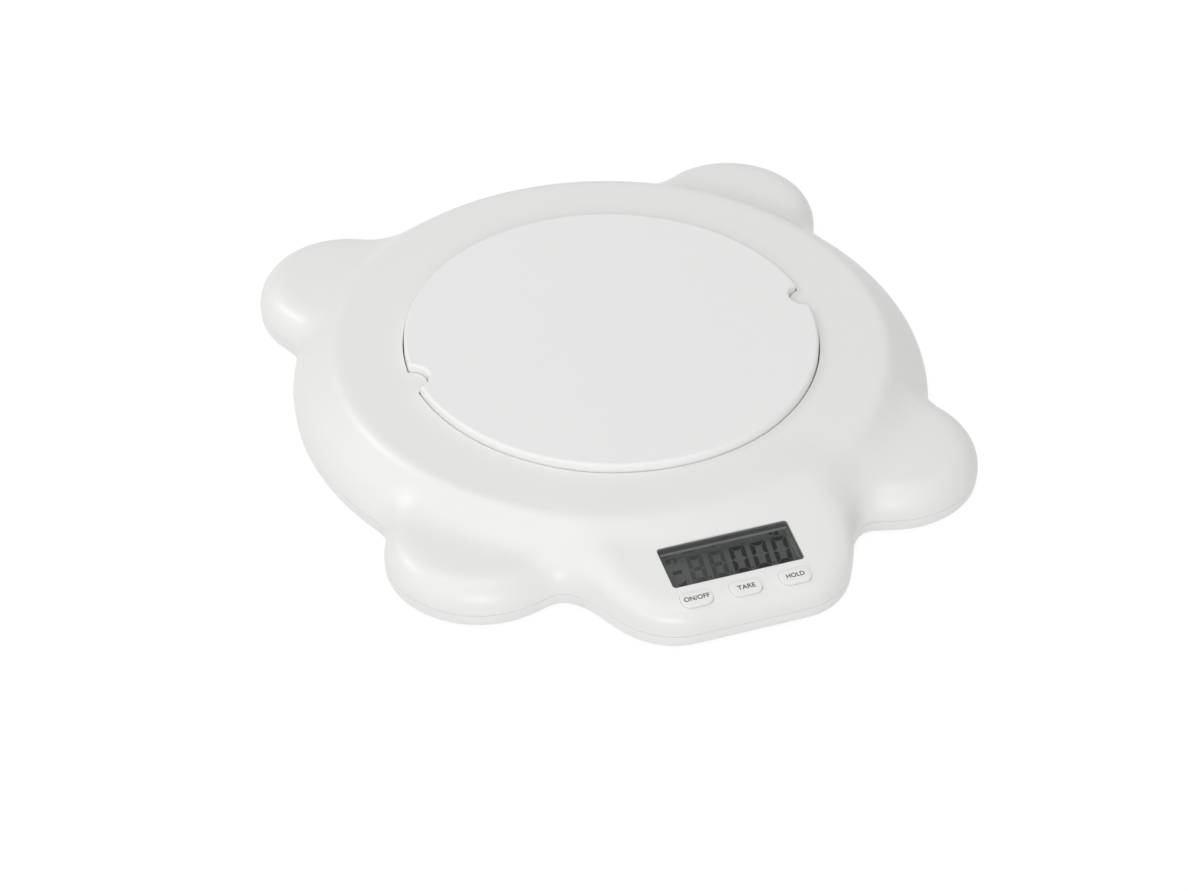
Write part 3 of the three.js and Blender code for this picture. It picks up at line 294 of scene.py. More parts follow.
def mesh_piece(name, points, faces):
    """A new piece from points and faces, with its doubles merged and its faces turned outwards."""
    mesh = bpy.data.meshes.new(name)
    mesh.from_pydata([tuple(point) for point in points], [], [tuple(face) for face in faces])
    piece = bpy.data.objects.new(name, mesh)
    bpy.context.scene.collection.objects.link(piece)
    tidy_faces(piece)
    return piece


def tidy_faces(piece):
    """Merges a piece's doubles and turns its faces outwards."""
    only(piece)
    bpy.ops.object.mode_set(mode="EDIT")
    bpy.ops.mesh.select_all(action="SELECT")
    bpy.ops.mesh.remove_doubles(threshold=HAIR)
    bpy.ops.mesh.dissolve_degenerate(threshold=1e-7)
    bpy.ops.mesh.normals_make_consistent(inside=False)
    bpy.ops.object.mode_set(mode="OBJECT")


def carve(piece, tool, operation="DIFFERENCE"):
    """Cuts a tool out of a piece, or joins it on, and removes the tool."""
    only(piece)
    before = len(piece.data.vertices)
    change = piece.modifiers.new("Carve", "BOOLEAN")
    change.operation = operation
    change.solver = "MANIFOLD"
    change.object = tool
    bpy.ops.object.modifier_apply(modifier=change.name)
    if len(piece.data.vertices) in (0, before):
        raise RuntimeError(f"{tool.name} changed nothing on {piece.name}")
    bpy.data.objects.remove(tool)
    return piece


def join(name, pieces):
    """Joins several pieces into one."""
    only(pieces[0])
    for piece in pieces:
        piece.select_set(True)
    bpy.ops.object.join()
    return added(name)


def copied(pattern, name, matrix):
    """A copy of a pattern with its own mesh, put in its place."""
    piece = pattern.copy()
    piece.data = pattern.data.copy()
    piece.name = piece.data.name = name
    bpy.context.scene.collection.objects.link(piece)
    return settle(piece, matrix)


def smooth(piece, degrees=30):
    only(piece)
    bpy.ops.object.shade_smooth_by_angle(angle=math.radians(degrees))


def dress(piece, material):
    piece.data.materials.clear()
    piece.data.materials.append(material)
    piece.data.polygons.foreach_set("material_index", [0] * len(piece.data.polygons))


def finish_piece(piece, material, body, slot, *nodes):
    """Gives a piece its finish and its body, and hides the nodes that it stands for. The slot is not used."""
    dress(piece, material)
    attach(piece, body)
    if nodes:
        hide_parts(*nodes)
    return piece


def rod(name, radius, low, high, x=0.0, y=0.0, corners=48):
    """An upright round bar between two heights."""
    bpy.ops.object.select_all(action="DESELECT")
    bpy.ops.mesh.primitive_cylinder_add(
        vertices=corners, radius=radius, depth=high - low, location=(x, y, (low + high) / 2)
    )
    return settle(added(name))


def block(name, width, depth, low, high, x=0.0, y=0.0):
    """A square block between two heights."""
    bpy.ops.object.select_all(action="DESELECT")
    bpy.ops.mesh.primitive_cube_add(
        size=1, location=(x, y, (low + high) / 2), scale=(width, depth, high - low)
    )
    return settle(added(name))


def rounded_outline(width, height, top_corner, bottom_corner, grow=0.0, steps=8):
    """Corners of a rectangle with rounded ends, counter-clockwise, grown by an even amount."""
    outline = []
    for sign_x, sign_y, corner, start in (
        (1, -1, bottom_corner, -90),
        (1, 1, top_corner, 0),
        (-1, 1, top_corner, 90),
        (-1, -1, bottom_corner, 180),
    ):
        x, y = sign_x * (width / 2 - corner), sign_y * (height / 2 - corner)
        for step in range(steps + 1):
            angle = math.radians(start + 90 * step / steps)
            outline.append((x + (corner + grow) * math.cos(angle), y + (corner + grow) * math.sin(angle)))
    return outline


def stack(name, levels):
    """A closed solid through outlines at rising heights, each with the same number of corners."""
    count = len(levels[0][0])
    points = [(x, y, height) for outline, height in levels for x, y in outline]
    faces = [tuple(range(count))[::-1], tuple(range((len(levels) - 1) * count, len(levels) * count))]
    for level in range(len(levels) - 1):
        for place in range(count):
            after = (place + 1) % count
            low, high = level * count, (level + 1) * count
            faces.append((low + place, low + after, high + after, high + place))
    return mesh_piece(name, points, faces)


def panel_matrix(x=0.0, y=0.0, z=0.0):
    """A place in the panel's frame: its origin in the middle of the display, Z along its normal."""
    middle = Matrix.Translation((0, AXIS_Y - PANEL_DISTANCE, RING_HEIGHT - PANEL_DROP))
    return middle @ Matrix.Rotation(PANEL_TILT, 4, "X") @ Matrix.Translation((x, y, z))


def diagonal(distance, side, end):
    """A place on a diagonal through the weighing axis: side is -1 or 1 in X, end is -1 at the front."""
    return side * distance / math.sqrt(2), AXIS_Y + end * distance / math.sqrt(2)


# Housing skin, as a blended distance that is negative inside


def smooth_min(a, b, blend):
    overlap = np.maximum(blend - np.abs(a - b), 0) / blend
    return np.minimum(a, b) - overlap * overlap * blend / 4


def smooth_max(a, b, blend):
    return -smooth_min(-a, -b, blend)


def body_distance(sizes, radius, depth):
    slope = sizes.flank_slope
    flank = (radius - sizes.shoulder_radius) * math.sin(slope) + depth * math.cos(slope)
    shoulder = smooth_max(depth, flank, SHOULDER_BLEND)
    return smooth_max(shoulder, radius - sizes.body_radius, FLANK_BLEND)


def paw_distance(distance, paw_radius, rise, end, x, y, height):
    across = distance / math.sqrt(2)
    reach = np.hypot(np.abs(x) - across, y - end * across)
    crown = height - PARTING_HEIGHT - rise + reach * reach / (2 * PAW_CROWN_RADIUS)
    return smooth_max(reach - paw_radius, crown, PAW_EDGE_BLEND)


def panel_distance(y, height):
    rise = math.tan(PANEL_TILT) * (y + PANEL_DISTANCE)
    return (height - RING_HEIGHT + PANEL_DROP - rise) * math.cos(PANEL_TILT)


def root_distance(radius, depth):
    """The soft slope that leads from the ring down to the panel."""
    fall = (radius - ROOT_RADIUS) * math.sin(ROOT_SLOPE) + depth * math.cos(ROOT_SLOPE)
    return smooth_max(depth, fall, ROOT_SHOULDER_BLEND)


def lobe_plan(sizes, x, y):
    """Distance from the lobe's outline, seen from above."""
    corner = sizes.lobe_corner
    middle, half_length = (sizes.lobe_reach + LOBE_ROOT) / 2, (sizes.lobe_reach - LOBE_ROOT) / 2
    sideways = np.abs(x) - (sizes.lobe_half_width - corner)
    lengthways = np.abs(y + middle) - (half_length - corner)
    outside = np.hypot(np.maximum(sideways, 0), np.maximum(lengthways, 0))
    return outside + np.minimum(np.maximum(sideways, lengthways), 0) - corner


def skin_distance(sizes, x, y, height):
    depth = height - RING_HEIGHT
    distance = body_distance(sizes, np.hypot(x, y), depth)
    for paw in (
        (sizes.front_paw_distance, sizes.front_paw_radius, sizes.front_paw_rise, -1),
        (sizes.rear_paw_distance, sizes.rear_paw_radius, sizes.rear_paw_rise, 1),
    ):
        distance = smooth_min(distance, paw_distance(*paw, x, y, height), PAW_BLEND)
    panel, plan = panel_distance(y, height), lobe_plan(sizes, x, y)
    lobe = smooth_max(plan, panel - TRIM_LIFT, LOBE_EDGE_BLEND)
    distance = smooth_min(distance, lobe, LOBE_FLARE)
    trim = smooth_min(panel, root_distance(np.hypot(x, y), depth), ROOT_BLEND)
    return smooth_max(smooth_max(distance, trim, TRIM_BLEND), depth, ROOF_BLEND)


def skin_rays(sizes, azimuths, elevations, inset, start_radius, start_height=PARTING_HEIGHT):
    """Radius and height where rays from inside the wall come to a depth under the skin."""
    turn = np.asarray(azimuths)[:, None]
    climb = np.radians(np.asarray(elevations, float))[None, :]
    near = np.zeros((turn.shape[0], climb.shape[1]))
    far = np.full_like(near, SKIN_SEARCH)
    for _ in range(SKIN_HALVINGS):
        middle = (near + far) / 2
        radius = start_radius + middle * np.cos(climb)
        height = start_height + middle * np.sin(climb)
        inside = skin_distance(sizes, radius * np.sin(turn), -radius * np.cos(turn), height) < -inset
        near = np.where(inside, middle, near)
        far = np.where(inside, far, middle)
    return start_radius + near * np.cos(climb), start_height + near * np.sin(climb)


def rim_radius(azimuths):
    """Radius of the cover's inner rim: the well's, or less where a tab reaches into a notch."""
    offset = np.abs(np.abs(azimuths) - math.pi / 2)
    across = TAB_RADIUS**2 - (NOTCH_CENTRE * np.sin(offset)) ** 2
    tab = NOTCH_CENTRE * np.cos(offset) - np.sqrt(np.maximum(across, 0))
    return np.where(across > 0, np.minimum(tab, WELL_RADIUS), WELL_RADIUS)


def section_azimuths():
    """Angles round the axis: close together at the lobe, the paws and the tabs, wider elsewhere."""
    degrees = [angle for start, end, step in SECTION_STEPS for angle in np.arange(start, end, step)]
    around = np.radians(TAB_TURNS)
    tab = np.arctan2(TAB_RADIUS * np.sin(around), NOTCH_CENTRE - TAB_RADIUS * np.cos(around))
    right = sorted([*np.radians(degrees), *(math.pi / 2 + tab), *np.radians(TAB_FLANKS)])
    return np.array([-angle for angle in reversed(right) if angle > 0] + right + [math.pi])


def spin_points(azimuths, radius, height):
    """Points round the weighing axis from a table of radii and heights."""
    turn = azimuths[:, None]
    x = radius * np.sin(turn)
    y = AXIS_Y - radius * np.cos(turn)
    return np.stack([x, y, height + 0 * radius], axis=2)


def lofted(name, azimuths, radius, height, end_heights=()):
    """A section at each azimuth, joined right round the axis.

    The section is closed in itself. With two end heights it is open instead, and closed to a point
    on the axis at both of its ends.
    """
    sections, count = radius.shape
    points = list(spin_points(azimuths, radius, height).reshape(-1, 3))
    first, last = len(points), len(points) + 1
    points += [(0, AXIS_Y, end_height) for end_height in end_heights]
    faces = []
    for section in range(sections):
        here, there = section * count, (section + 1) % sections * count
        for place in range(count - 1 if end_heights else count):
            following = (place + 1) % count
            faces.append((here + place, here + following, there + following, there + place))
        if end_heights:
            faces += [(first, here, there), (last, there + count - 1, here + count - 1)]
    return mesh_piece(name, points, faces)


# Finishes


def add_node(tree, kind, settings=None, links=None):
    """Adds a node with its settings and its links."""
    node = tree.nodes.new(kind)
    for name, value in (settings or {}).items():
        if isinstance(name, int) or name in node.inputs:
            node.inputs[name].default_value = value
        else:
            setattr(node, name, value)
    for name, source in (links or {}).items():
        tree.links.new(source, node.inputs[name])
    return node


def tone_of(tone, base=()):
    """A tone as linear values, from sRGB hex, from a share of a base tone, or as it is."""
    if isinstance(tone, str):
        return linear(tone)
    if isinstance(tone, float):
        return tuple(value * tone for value in base)
    return tuple(tone)


def new_finish(name, tone, roughness, **sockets):
    """A material with one main shader whose constants are set on its own sockets."""
    material = bpy.data.materials.new(name)
    material.use_nodes = True
    tree = material.node_tree
    tree.nodes.clear()
    base = tone_of(tone)
    shader = add_node(
        tree,
        "ShaderNodeBsdfPrincipled",
        {"Base Color": (*base, 1), "Roughness": roughness, **sockets},
    )
    add_node(tree, "ShaderNodeOutputMaterial", links={"Surface": shader.outputs[0]})
    material.diffuse_color = (*base, 1)
    material.roughness = roughness
    return material, tree, shader


def surface_grain(tree, shader, grain, depth, gloss, stretch=(1, 1, 1), detail=3):
    """A grain of a real size, in millimetres: it lifts the surface and swings the roughness."""
    low, high = gloss
    place = add_node(tree, "ShaderNodeTexCoord")
    along = add_node(tree, "ShaderNodeMapping", {"Scale": stretch}, {"Vector": place.outputs["Object"]})
    noise = add_node(
        tree,
        "ShaderNodeTexNoise",
        {"Scale": 1 / (grain * MM), "Detail": detail, "Roughness": 0.55},
        {"Vector": along.outputs[0]},
    )
    share = noise.outputs["Fac"]
    swing = add_node(tree, "ShaderNodeMapRange", {"To Min": low, "To Max": high}, {"Value": share})
    lift = add_node(tree, "ShaderNodeBump", {"Distance": depth * MM}, {"Height": share})
    tree.links.new(swing.outputs[0], shader.inputs["Roughness"])
    tree.links.new(lift.outputs[0], shader.inputs["Normal"])
    return along


def tone_drift(tree, shader, along, patch, first, second):
    """A broad, faint drift between two near tones, as a moulding has from its flow."""
    cloud = add_node(
        tree, "ShaderNodeTexNoise", {"Scale": 1 / (patch * MM), "Detail": 2}, {"Vector": along.outputs[0]}
    )
    tones = add_node(
        tree,
        "ShaderNodeMix",
        {"data_type": "RGBA", 6: (*first, 1), 7: (*second, 1)},
        {0: cloud.outputs["Fac"]},
    )
    tree.links.new(tones.outputs[2], shader.inputs["Base Color"])


def plain_finish(
    name, tone, roughness, grain, depth, gloss, drift=(), stretch=(1, 1, 1), detail=3, **sockets
):
    """A finish of one tone with a grain and, mostly, a drift.

    Grain, depth and the drift's patch are in millimetres. Gloss is the range of the roughness. Drift
    is the patch and its two tones, each as hex or as a share of the finish's own tone.
    """
    material, tree, shader = new_finish(name, tone, roughness, **sockets)
    along = surface_grain(tree, shader, grain, depth, gloss, stretch, detail)
    if drift:
        patch, first, second = drift
        base = tone_of(tone)
        tone_drift(tree, shader, along, patch, tone_of(first, base), tone_of(second, base))
    return material


def make_finishes(colours):
    """Every finish of the scale, by the name of the record's slot or printed part that it belongs to."""
    made = {}
    metal = {"Metallic": 1.0}

    # White ABS, injection moulded. The tool's fine spark grain, 0.25 mm on the real one, is drawn
    # coarser so that it shows, and gives soft, slightly broken highlights
    for slot, name, tone, grain, depth, gloss in (
        ("white_shell", "semi_gloss_moulded_ABS", colours.housing, 0.9, 0.006, (0.3, 0.38)),
        ("white_satin", "satin_moulded_ABS", colours.platform, 0.7, 0.02, (0.5, 0.6)),
        ("button_white", "satin_moulded_key_ABS", colours.keys, 0.6, 0.008, (0.36, 0.46)),
    ):
        made[slot] = plain_finish(name, tone, gloss[0], grain, depth, gloss, (38, 0.992, 1.0), IOR=1.53)

    # Pad-printed ink: flat dark grey, a little uneven where the pad laid it down thinner
    made["key_ink"] = plain_finish(
        "pad_printed_grey_ink", colours.lettering, 0.6, 0.3, 0.004, (0.52, 0.68), (0.8, 0.8, 1.15)
    )

    # Cast acrylic, smoke tinted: a dark clear sheet with a hard polished face that dims what lies under it
    acrylic = {"IOR": 1.49, "Alpha": 0.38, "Specular IOR Level": 0.35}
    made["smoke_lens"] = plain_finish(
        "polished_smoke_acrylic", colours.window, 0.14, 6, 0.003, (0.12, 0.18), detail=1, **acrylic
    )

    # Screen-printed border behind the window: matt mid grey that the smoke tint turns dark, so the
    # ledge under it doesn't show
    made["window_border"] = plain_finish(
        "screen_printed_border_ink", "#8B8E8E", 0.7, 0.25, 0.004, (0.62, 0.76)
    )

    # Liquid crystal cell behind a polariser film: even grey-green, with the film's faint fibre
    drift = (9, "#B3B7B3", "#BCC0BC")
    made["lcd_glass"] = plain_finish(
        "liquid_crystal_polariser", "#B7BBB7", 0.3, 0.5, 0.003, (0.26, 0.36), drift, (1, 6, 1)
    )

    # Thin layers in front of the cell, smooth and faintly uneven: its electrode areas, dark when
    # driven and a ghost of a tone darker at rest. The last three are painted light: a pale band for the
    # reflection of the recess's lit right wall, a lighter strip that brightens the shade under the top
    # border, and a pale line behind the window for the highlight along its top
    for key, name, tone in (
        ("lcd_dark", "liquid_crystal_switched_on", "#0E0F0F"),
        ("lcd_minus", "liquid_crystal_fading", "#3E4140"),
        ("lcd_ghost", "liquid_crystal_at_rest", "#7B7F7B"),
        ("wall_reflection_tone", "painted_reflection_of_lit_right_wall", "#F2F4F2"),
        ("painted_light_tone", "painted_light_against_border_shade", "#D6DAD6"),
        ("highlight_line_tone", "painted_highlight_along_window_top", "#F2F4F2"),
    ):
        made[key] = plain_finish(name, tone, 0.34, 0.4, 0.002, (0.3, 0.4), (5, 0.92, 1.06))

    # Aluminium bar, milled and clear anodised: fine parallel cutter lines, 0.4 mm apart, across the bar
    drift = (12, "#C0C2C4", "#CACCCE")
    made["cell_aluminium"] = plain_finish(
        "milled_anodised_aluminium", "#C6C8CA", 0.36, 0.4, 0.01, (0.3, 0.46), drift, (1, 0.04, 1), **metal
    )

    # Sheet steel, zinc plated: rolled grain along the sheet and a cloudy passivated bloom
    drift = (7, "#A5A8AE", "#B9BBBD")
    made["zinc_plate"] = plain_finish(
        "zinc_plated_rolled_steel", "#AEB1B5", 0.4, 0.5, 0.008, (0.34, 0.5), drift, (0.1, 1, 1), **metal
    )

    # Screws, cold headed and zinc plated: bright, with fine turned marks
    drift = (2, "#B3B6BA", "#C6C7C8")
    made["screw_steel"] = plain_finish(
        "zinc_plated_screw_steel", "#BDBFC2", 0.3, 0.35, 0.006, (0.26, 0.42), drift, (1, 1, 0.3), **metal
    )

    # Silicone potting over the gauges: brushed on by hand, so soft, milky and uneven
    drift, milky = (6, "#E2DFD6", "#EEECE6"), {"IOR": 1.41, "Subsurface Weight": 0.15}
    made["silicone"] = plain_finish(
        "brushed_on_silicone", "#E9E7E0", 0.5, 3, 0.25, (0.42, 0.6), drift, **milky
    )

    # Solder resist on glass-fibre board: green lacquer over the cloth's weave, 0.8 mm from thread to thread
    lacquer = {"Coat Weight": 0.5}
    material, tree, shader = new_finish("solder_resist_on_glass_fibre", "#1F5A3A", 0.4, **lacquer)
    along = surface_grain(tree, shader, 0.5, 0.006, (0.34, 0.46))
    threads = add_node(
        tree,
        "ShaderNodeTexBrick",
        {
            "Scale": 1.0,
            "Mortar Size": 0.12 * MM,
            "Brick Width": 1.6 * MM,
            "Row Height": 0.8 * MM,
            "Color1": (*linear("#1F5C3B"), 1),
            "Color2": (*linear("#226140"), 1),
            "Mortar": (*linear("#1A4C31"), 1),
        },
        {"Vector": along.outputs[0]},
    )
    tree.links.new(threads.outputs["Color"], shader.inputs["Base Color"])
    made["board_green"] = material

    # Epoxy drop over the bare chip: poured, so glossy black with a slow ripple
    made["black_resin"] = plain_finish(
        "poured_black_epoxy", "#141415", 0.22, 2.5, 0.05, (0.18, 0.3), detail=1
    )

    # Contact strip: alternate dark conducting and light insulating layers, 0.2 mm each, drawn at
    # 0.5 mm. A wave texture's stripes lie 0.314 apart at a scale of 1
    dark, light, layer = "#3B3735", "#D9CFC4", 0.5 * MM
    material, tree, shader = new_finish("layered_conductive_elastomer", light, 0.7)
    along = surface_grain(tree, shader, 0.5, 0.006, (0.62, 0.78))
    layers = add_node(
        tree, "ShaderNodeTexWave", {"Scale": 0.314 / layer, "Distortion": 0.2}, {"Vector": along.outputs[0]}
    )
    tones = add_node(
        tree,
        "ShaderNodeMix",
        {"data_type": "RGBA", 6: (*linear(dark), 1), 7: (*linear(light), 1)},
        {0: layers.outputs["Fac"]},
    )
    tree.links.new(tones.outputs[2], shader.inputs["Base Color"])
    made["elastomer"] = material

    # Nylon of the tact switches: moulded, matt black with a fine tooth
    made["black_plastic"] = plain_finish(
        "moulded_black_nylon", "#1C1C1D", 0.5, 0.4, 0.01, (0.44, 0.6), (3, "#19191A", "#222223")
    )

    # Rubber feet: compression moulded, dull grey with a dusty bloom
    drift = (4, "#47484A", "#585A5B")
    made["foot_rubber"] = plain_finish(
        "moulded_grey_rubber", "#4D4E50", 0.8, 0.5, 0.03, (0.72, 0.9), drift, IOR=1.52
    )

    # Spring steel, nickel plated: warm bright metal with drawn lines
    drift = (3, "#C2BEB3", "#D3D0C8")
    made["contact_nickel"] = plain_finish(
        "nickel_plated_spring_steel", "#CBC7BD", 0.24, 0.3, 0.004, (0.2, 0.34), drift, (1, 0.2, 1), **metal
    )

    # Battery jacket: shrunk film over a steel can, plain blue with a pale band, thinly glossy
    blue, pale, half_band = "#2E507D", "#B9C2CC", 3.5 * MM
    material, tree, shader = new_finish("shrunk_printed_film", blue, 0.32, **{"Coat Weight": 0.4})
    along = surface_grain(tree, shader, 1.2, 0.01, (0.28, 0.4))
    across = add_node(tree, "ShaderNodeSeparateXYZ", links={"Vector": along.outputs[0]})
    band = add_node(
        tree, "ShaderNodeMath", {"operation": "COMPARE", 1: 0.0, 2: half_band}, {0: across.outputs["X"]}
    )
    tones = add_node(
        tree,
        "ShaderNodeMix",
        {"data_type": "RGBA", 6: (*linear(blue), 1), 7: (*linear(pale), 1)},
        {0: band.outputs[0]},
    )
    tree.links.new(tones.outputs[2], shader.inputs["Base Color"])
    made["battery_label"] = material

    # Cable sheaths: extruded PVC, satin, with the faint waves of the die
    for slot, name, tone in (
        ("grey_cable", "extruded_grey_PVC", "#8E9194"),
        ("black_cable", "extruded_black_PVC", "#212223"),
    ):
        made[slot] = plain_finish(name, tone, 0.5, 1.5, 0.03, (0.44, 0.58), (9, 0.93, 1.05))
    return made


def finish(key):
    """The finish for one of the record's slots or printed parts, made on first use."""
    stored = bpy.context.scene.get("scale_finishes")
    if stored is None:
        made = make_finishes(bpy.context.scene.scale_colours)
        bpy.context.scene["scale_finishes"] = {name: material.name for name, material in made.items()}
        stored = bpy.context.scene["scale_finishes"]
    return bpy.data.materials[stored[key]]


# Pieces


class BuildTopCover(bpy.types.Operator):
    """Lofts the upper shell with its well, notch tabs, paws and lobe, and opens it for display and keys"""

    bl_idname = "weighing_scale.build_top_cover"
    bl_label = "Build top cover"

    tool_top = 6 * MM
    recess_bottom = -12 * MM
    key_hole_bottom = -9 * MM

    def execute(self, context):
        sizes = context.scene.scale_housing
        azimuths = section_azimuths()
        skin_radius, skin_height = skin_rays(sizes, azimuths, SKIN_ELEVATIONS, 0, WELL_RADIUS)
        _, rim_height = skin_rays(sizes, azimuths, [90], 0, WELL_RADIUS)
        foot_radius, _ = skin_rays(sizes, azimuths, [0], 0, WELL_RADIUS)
        lining = skin_rays(sizes, azimuths, LINING_ELEVATIONS, WALL, WELL_RADIUS + WALL)
        rim = rim_radius(azimuths)[:, None]
        level = np.ones_like(rim)
        lip_bottom = level * (RING_HEIGHT - WELL_LIP)
        tab_bottom = level * (RING_HEIGHT - TAB_THICKNESS)
        turns = np.radians([0, 22.5, 45, 67.5, 90])[None, :]
        rows = [
            # Rounded rim of the well, then the outside down to the softened edge at the parting line
            (rim + WELL_RIM_ROUND * (1 - np.cos(turns)), rim_height - WELL_RIM_ROUND * (1 - np.sin(turns))),
            (skin_radius, skin_height),
            (foot_radius - 0.05 * MM, level * (PARTING_HEIGHT + 0.08 * MM)),
            (foot_radius - 0.25 * MM, level * PARTING_HEIGHT),
            # The lining, and back up the well's wall and under the tabs
            lining,
            (level * (WELL_RADIUS + WALL), lip_bottom),
            (level * WELL_RADIUS, lip_bottom),
            (level * WELL_RADIUS, tab_bottom),
            (rim, tab_bottom),
        ]
        radius, height = (np.concatenate(columns, axis=1) for columns in zip(*rows))
        cover = lofted("top_cover_skin", azimuths, radius, height)
        for opening in self.openings():
            carve(cover, opening)
        smooth(cover)
        finish_piece(cover, finish("white_shell"), "housing", "white_shell", "top_cover")
        return {"FINISHED"}

    def openings(self):
        """Tools for the display's stepped recess and the three key holes, each with a softened mouth."""
        ledge = -WINDOW_THICKNESS - 0.1 * MM
        inside, wall, soft, mouth = (
            rounded_outline(*WINDOW_SIZE, WINDOW_CORNER, WINDOW_CORNER, grow)
            for grow in (-WINDOW_LEDGE, 0, 0.06 * MM, 0.2 * MM)
        )
        recess = [
            (inside, self.recess_bottom),
            (inside, ledge),
            (wall, ledge + HAIR),
            (wall, -0.25 * MM),
            (soft, -0.1 * MM),
            (mouth, 0.02 * MM),
            (mouth, self.tool_top),
        ]
        tools = [stack("display_recess", recess)]
        for place in KEY_PLACES.values():
            wall, soft, mouth = (
                [
                    (x + place, y - KEY_FORWARD)
                    for x, y in rounded_outline(*KEY_SIZE, *KEY_CORNERS, KEY_GAP + grow)
                ]
                for grow in (0, 0.03 * MM, 0.1 * MM)
            )
            hole = [
                (wall, self.key_hole_bottom),
                (wall, -0.2 * MM),
                (soft, -0.08 * MM),
                (mouth, 0),
                (mouth, self.tool_top),
            ]
            tools.append(stack("key_hole", hole))
        return [settle(tool, panel_matrix()) for tool in tools]


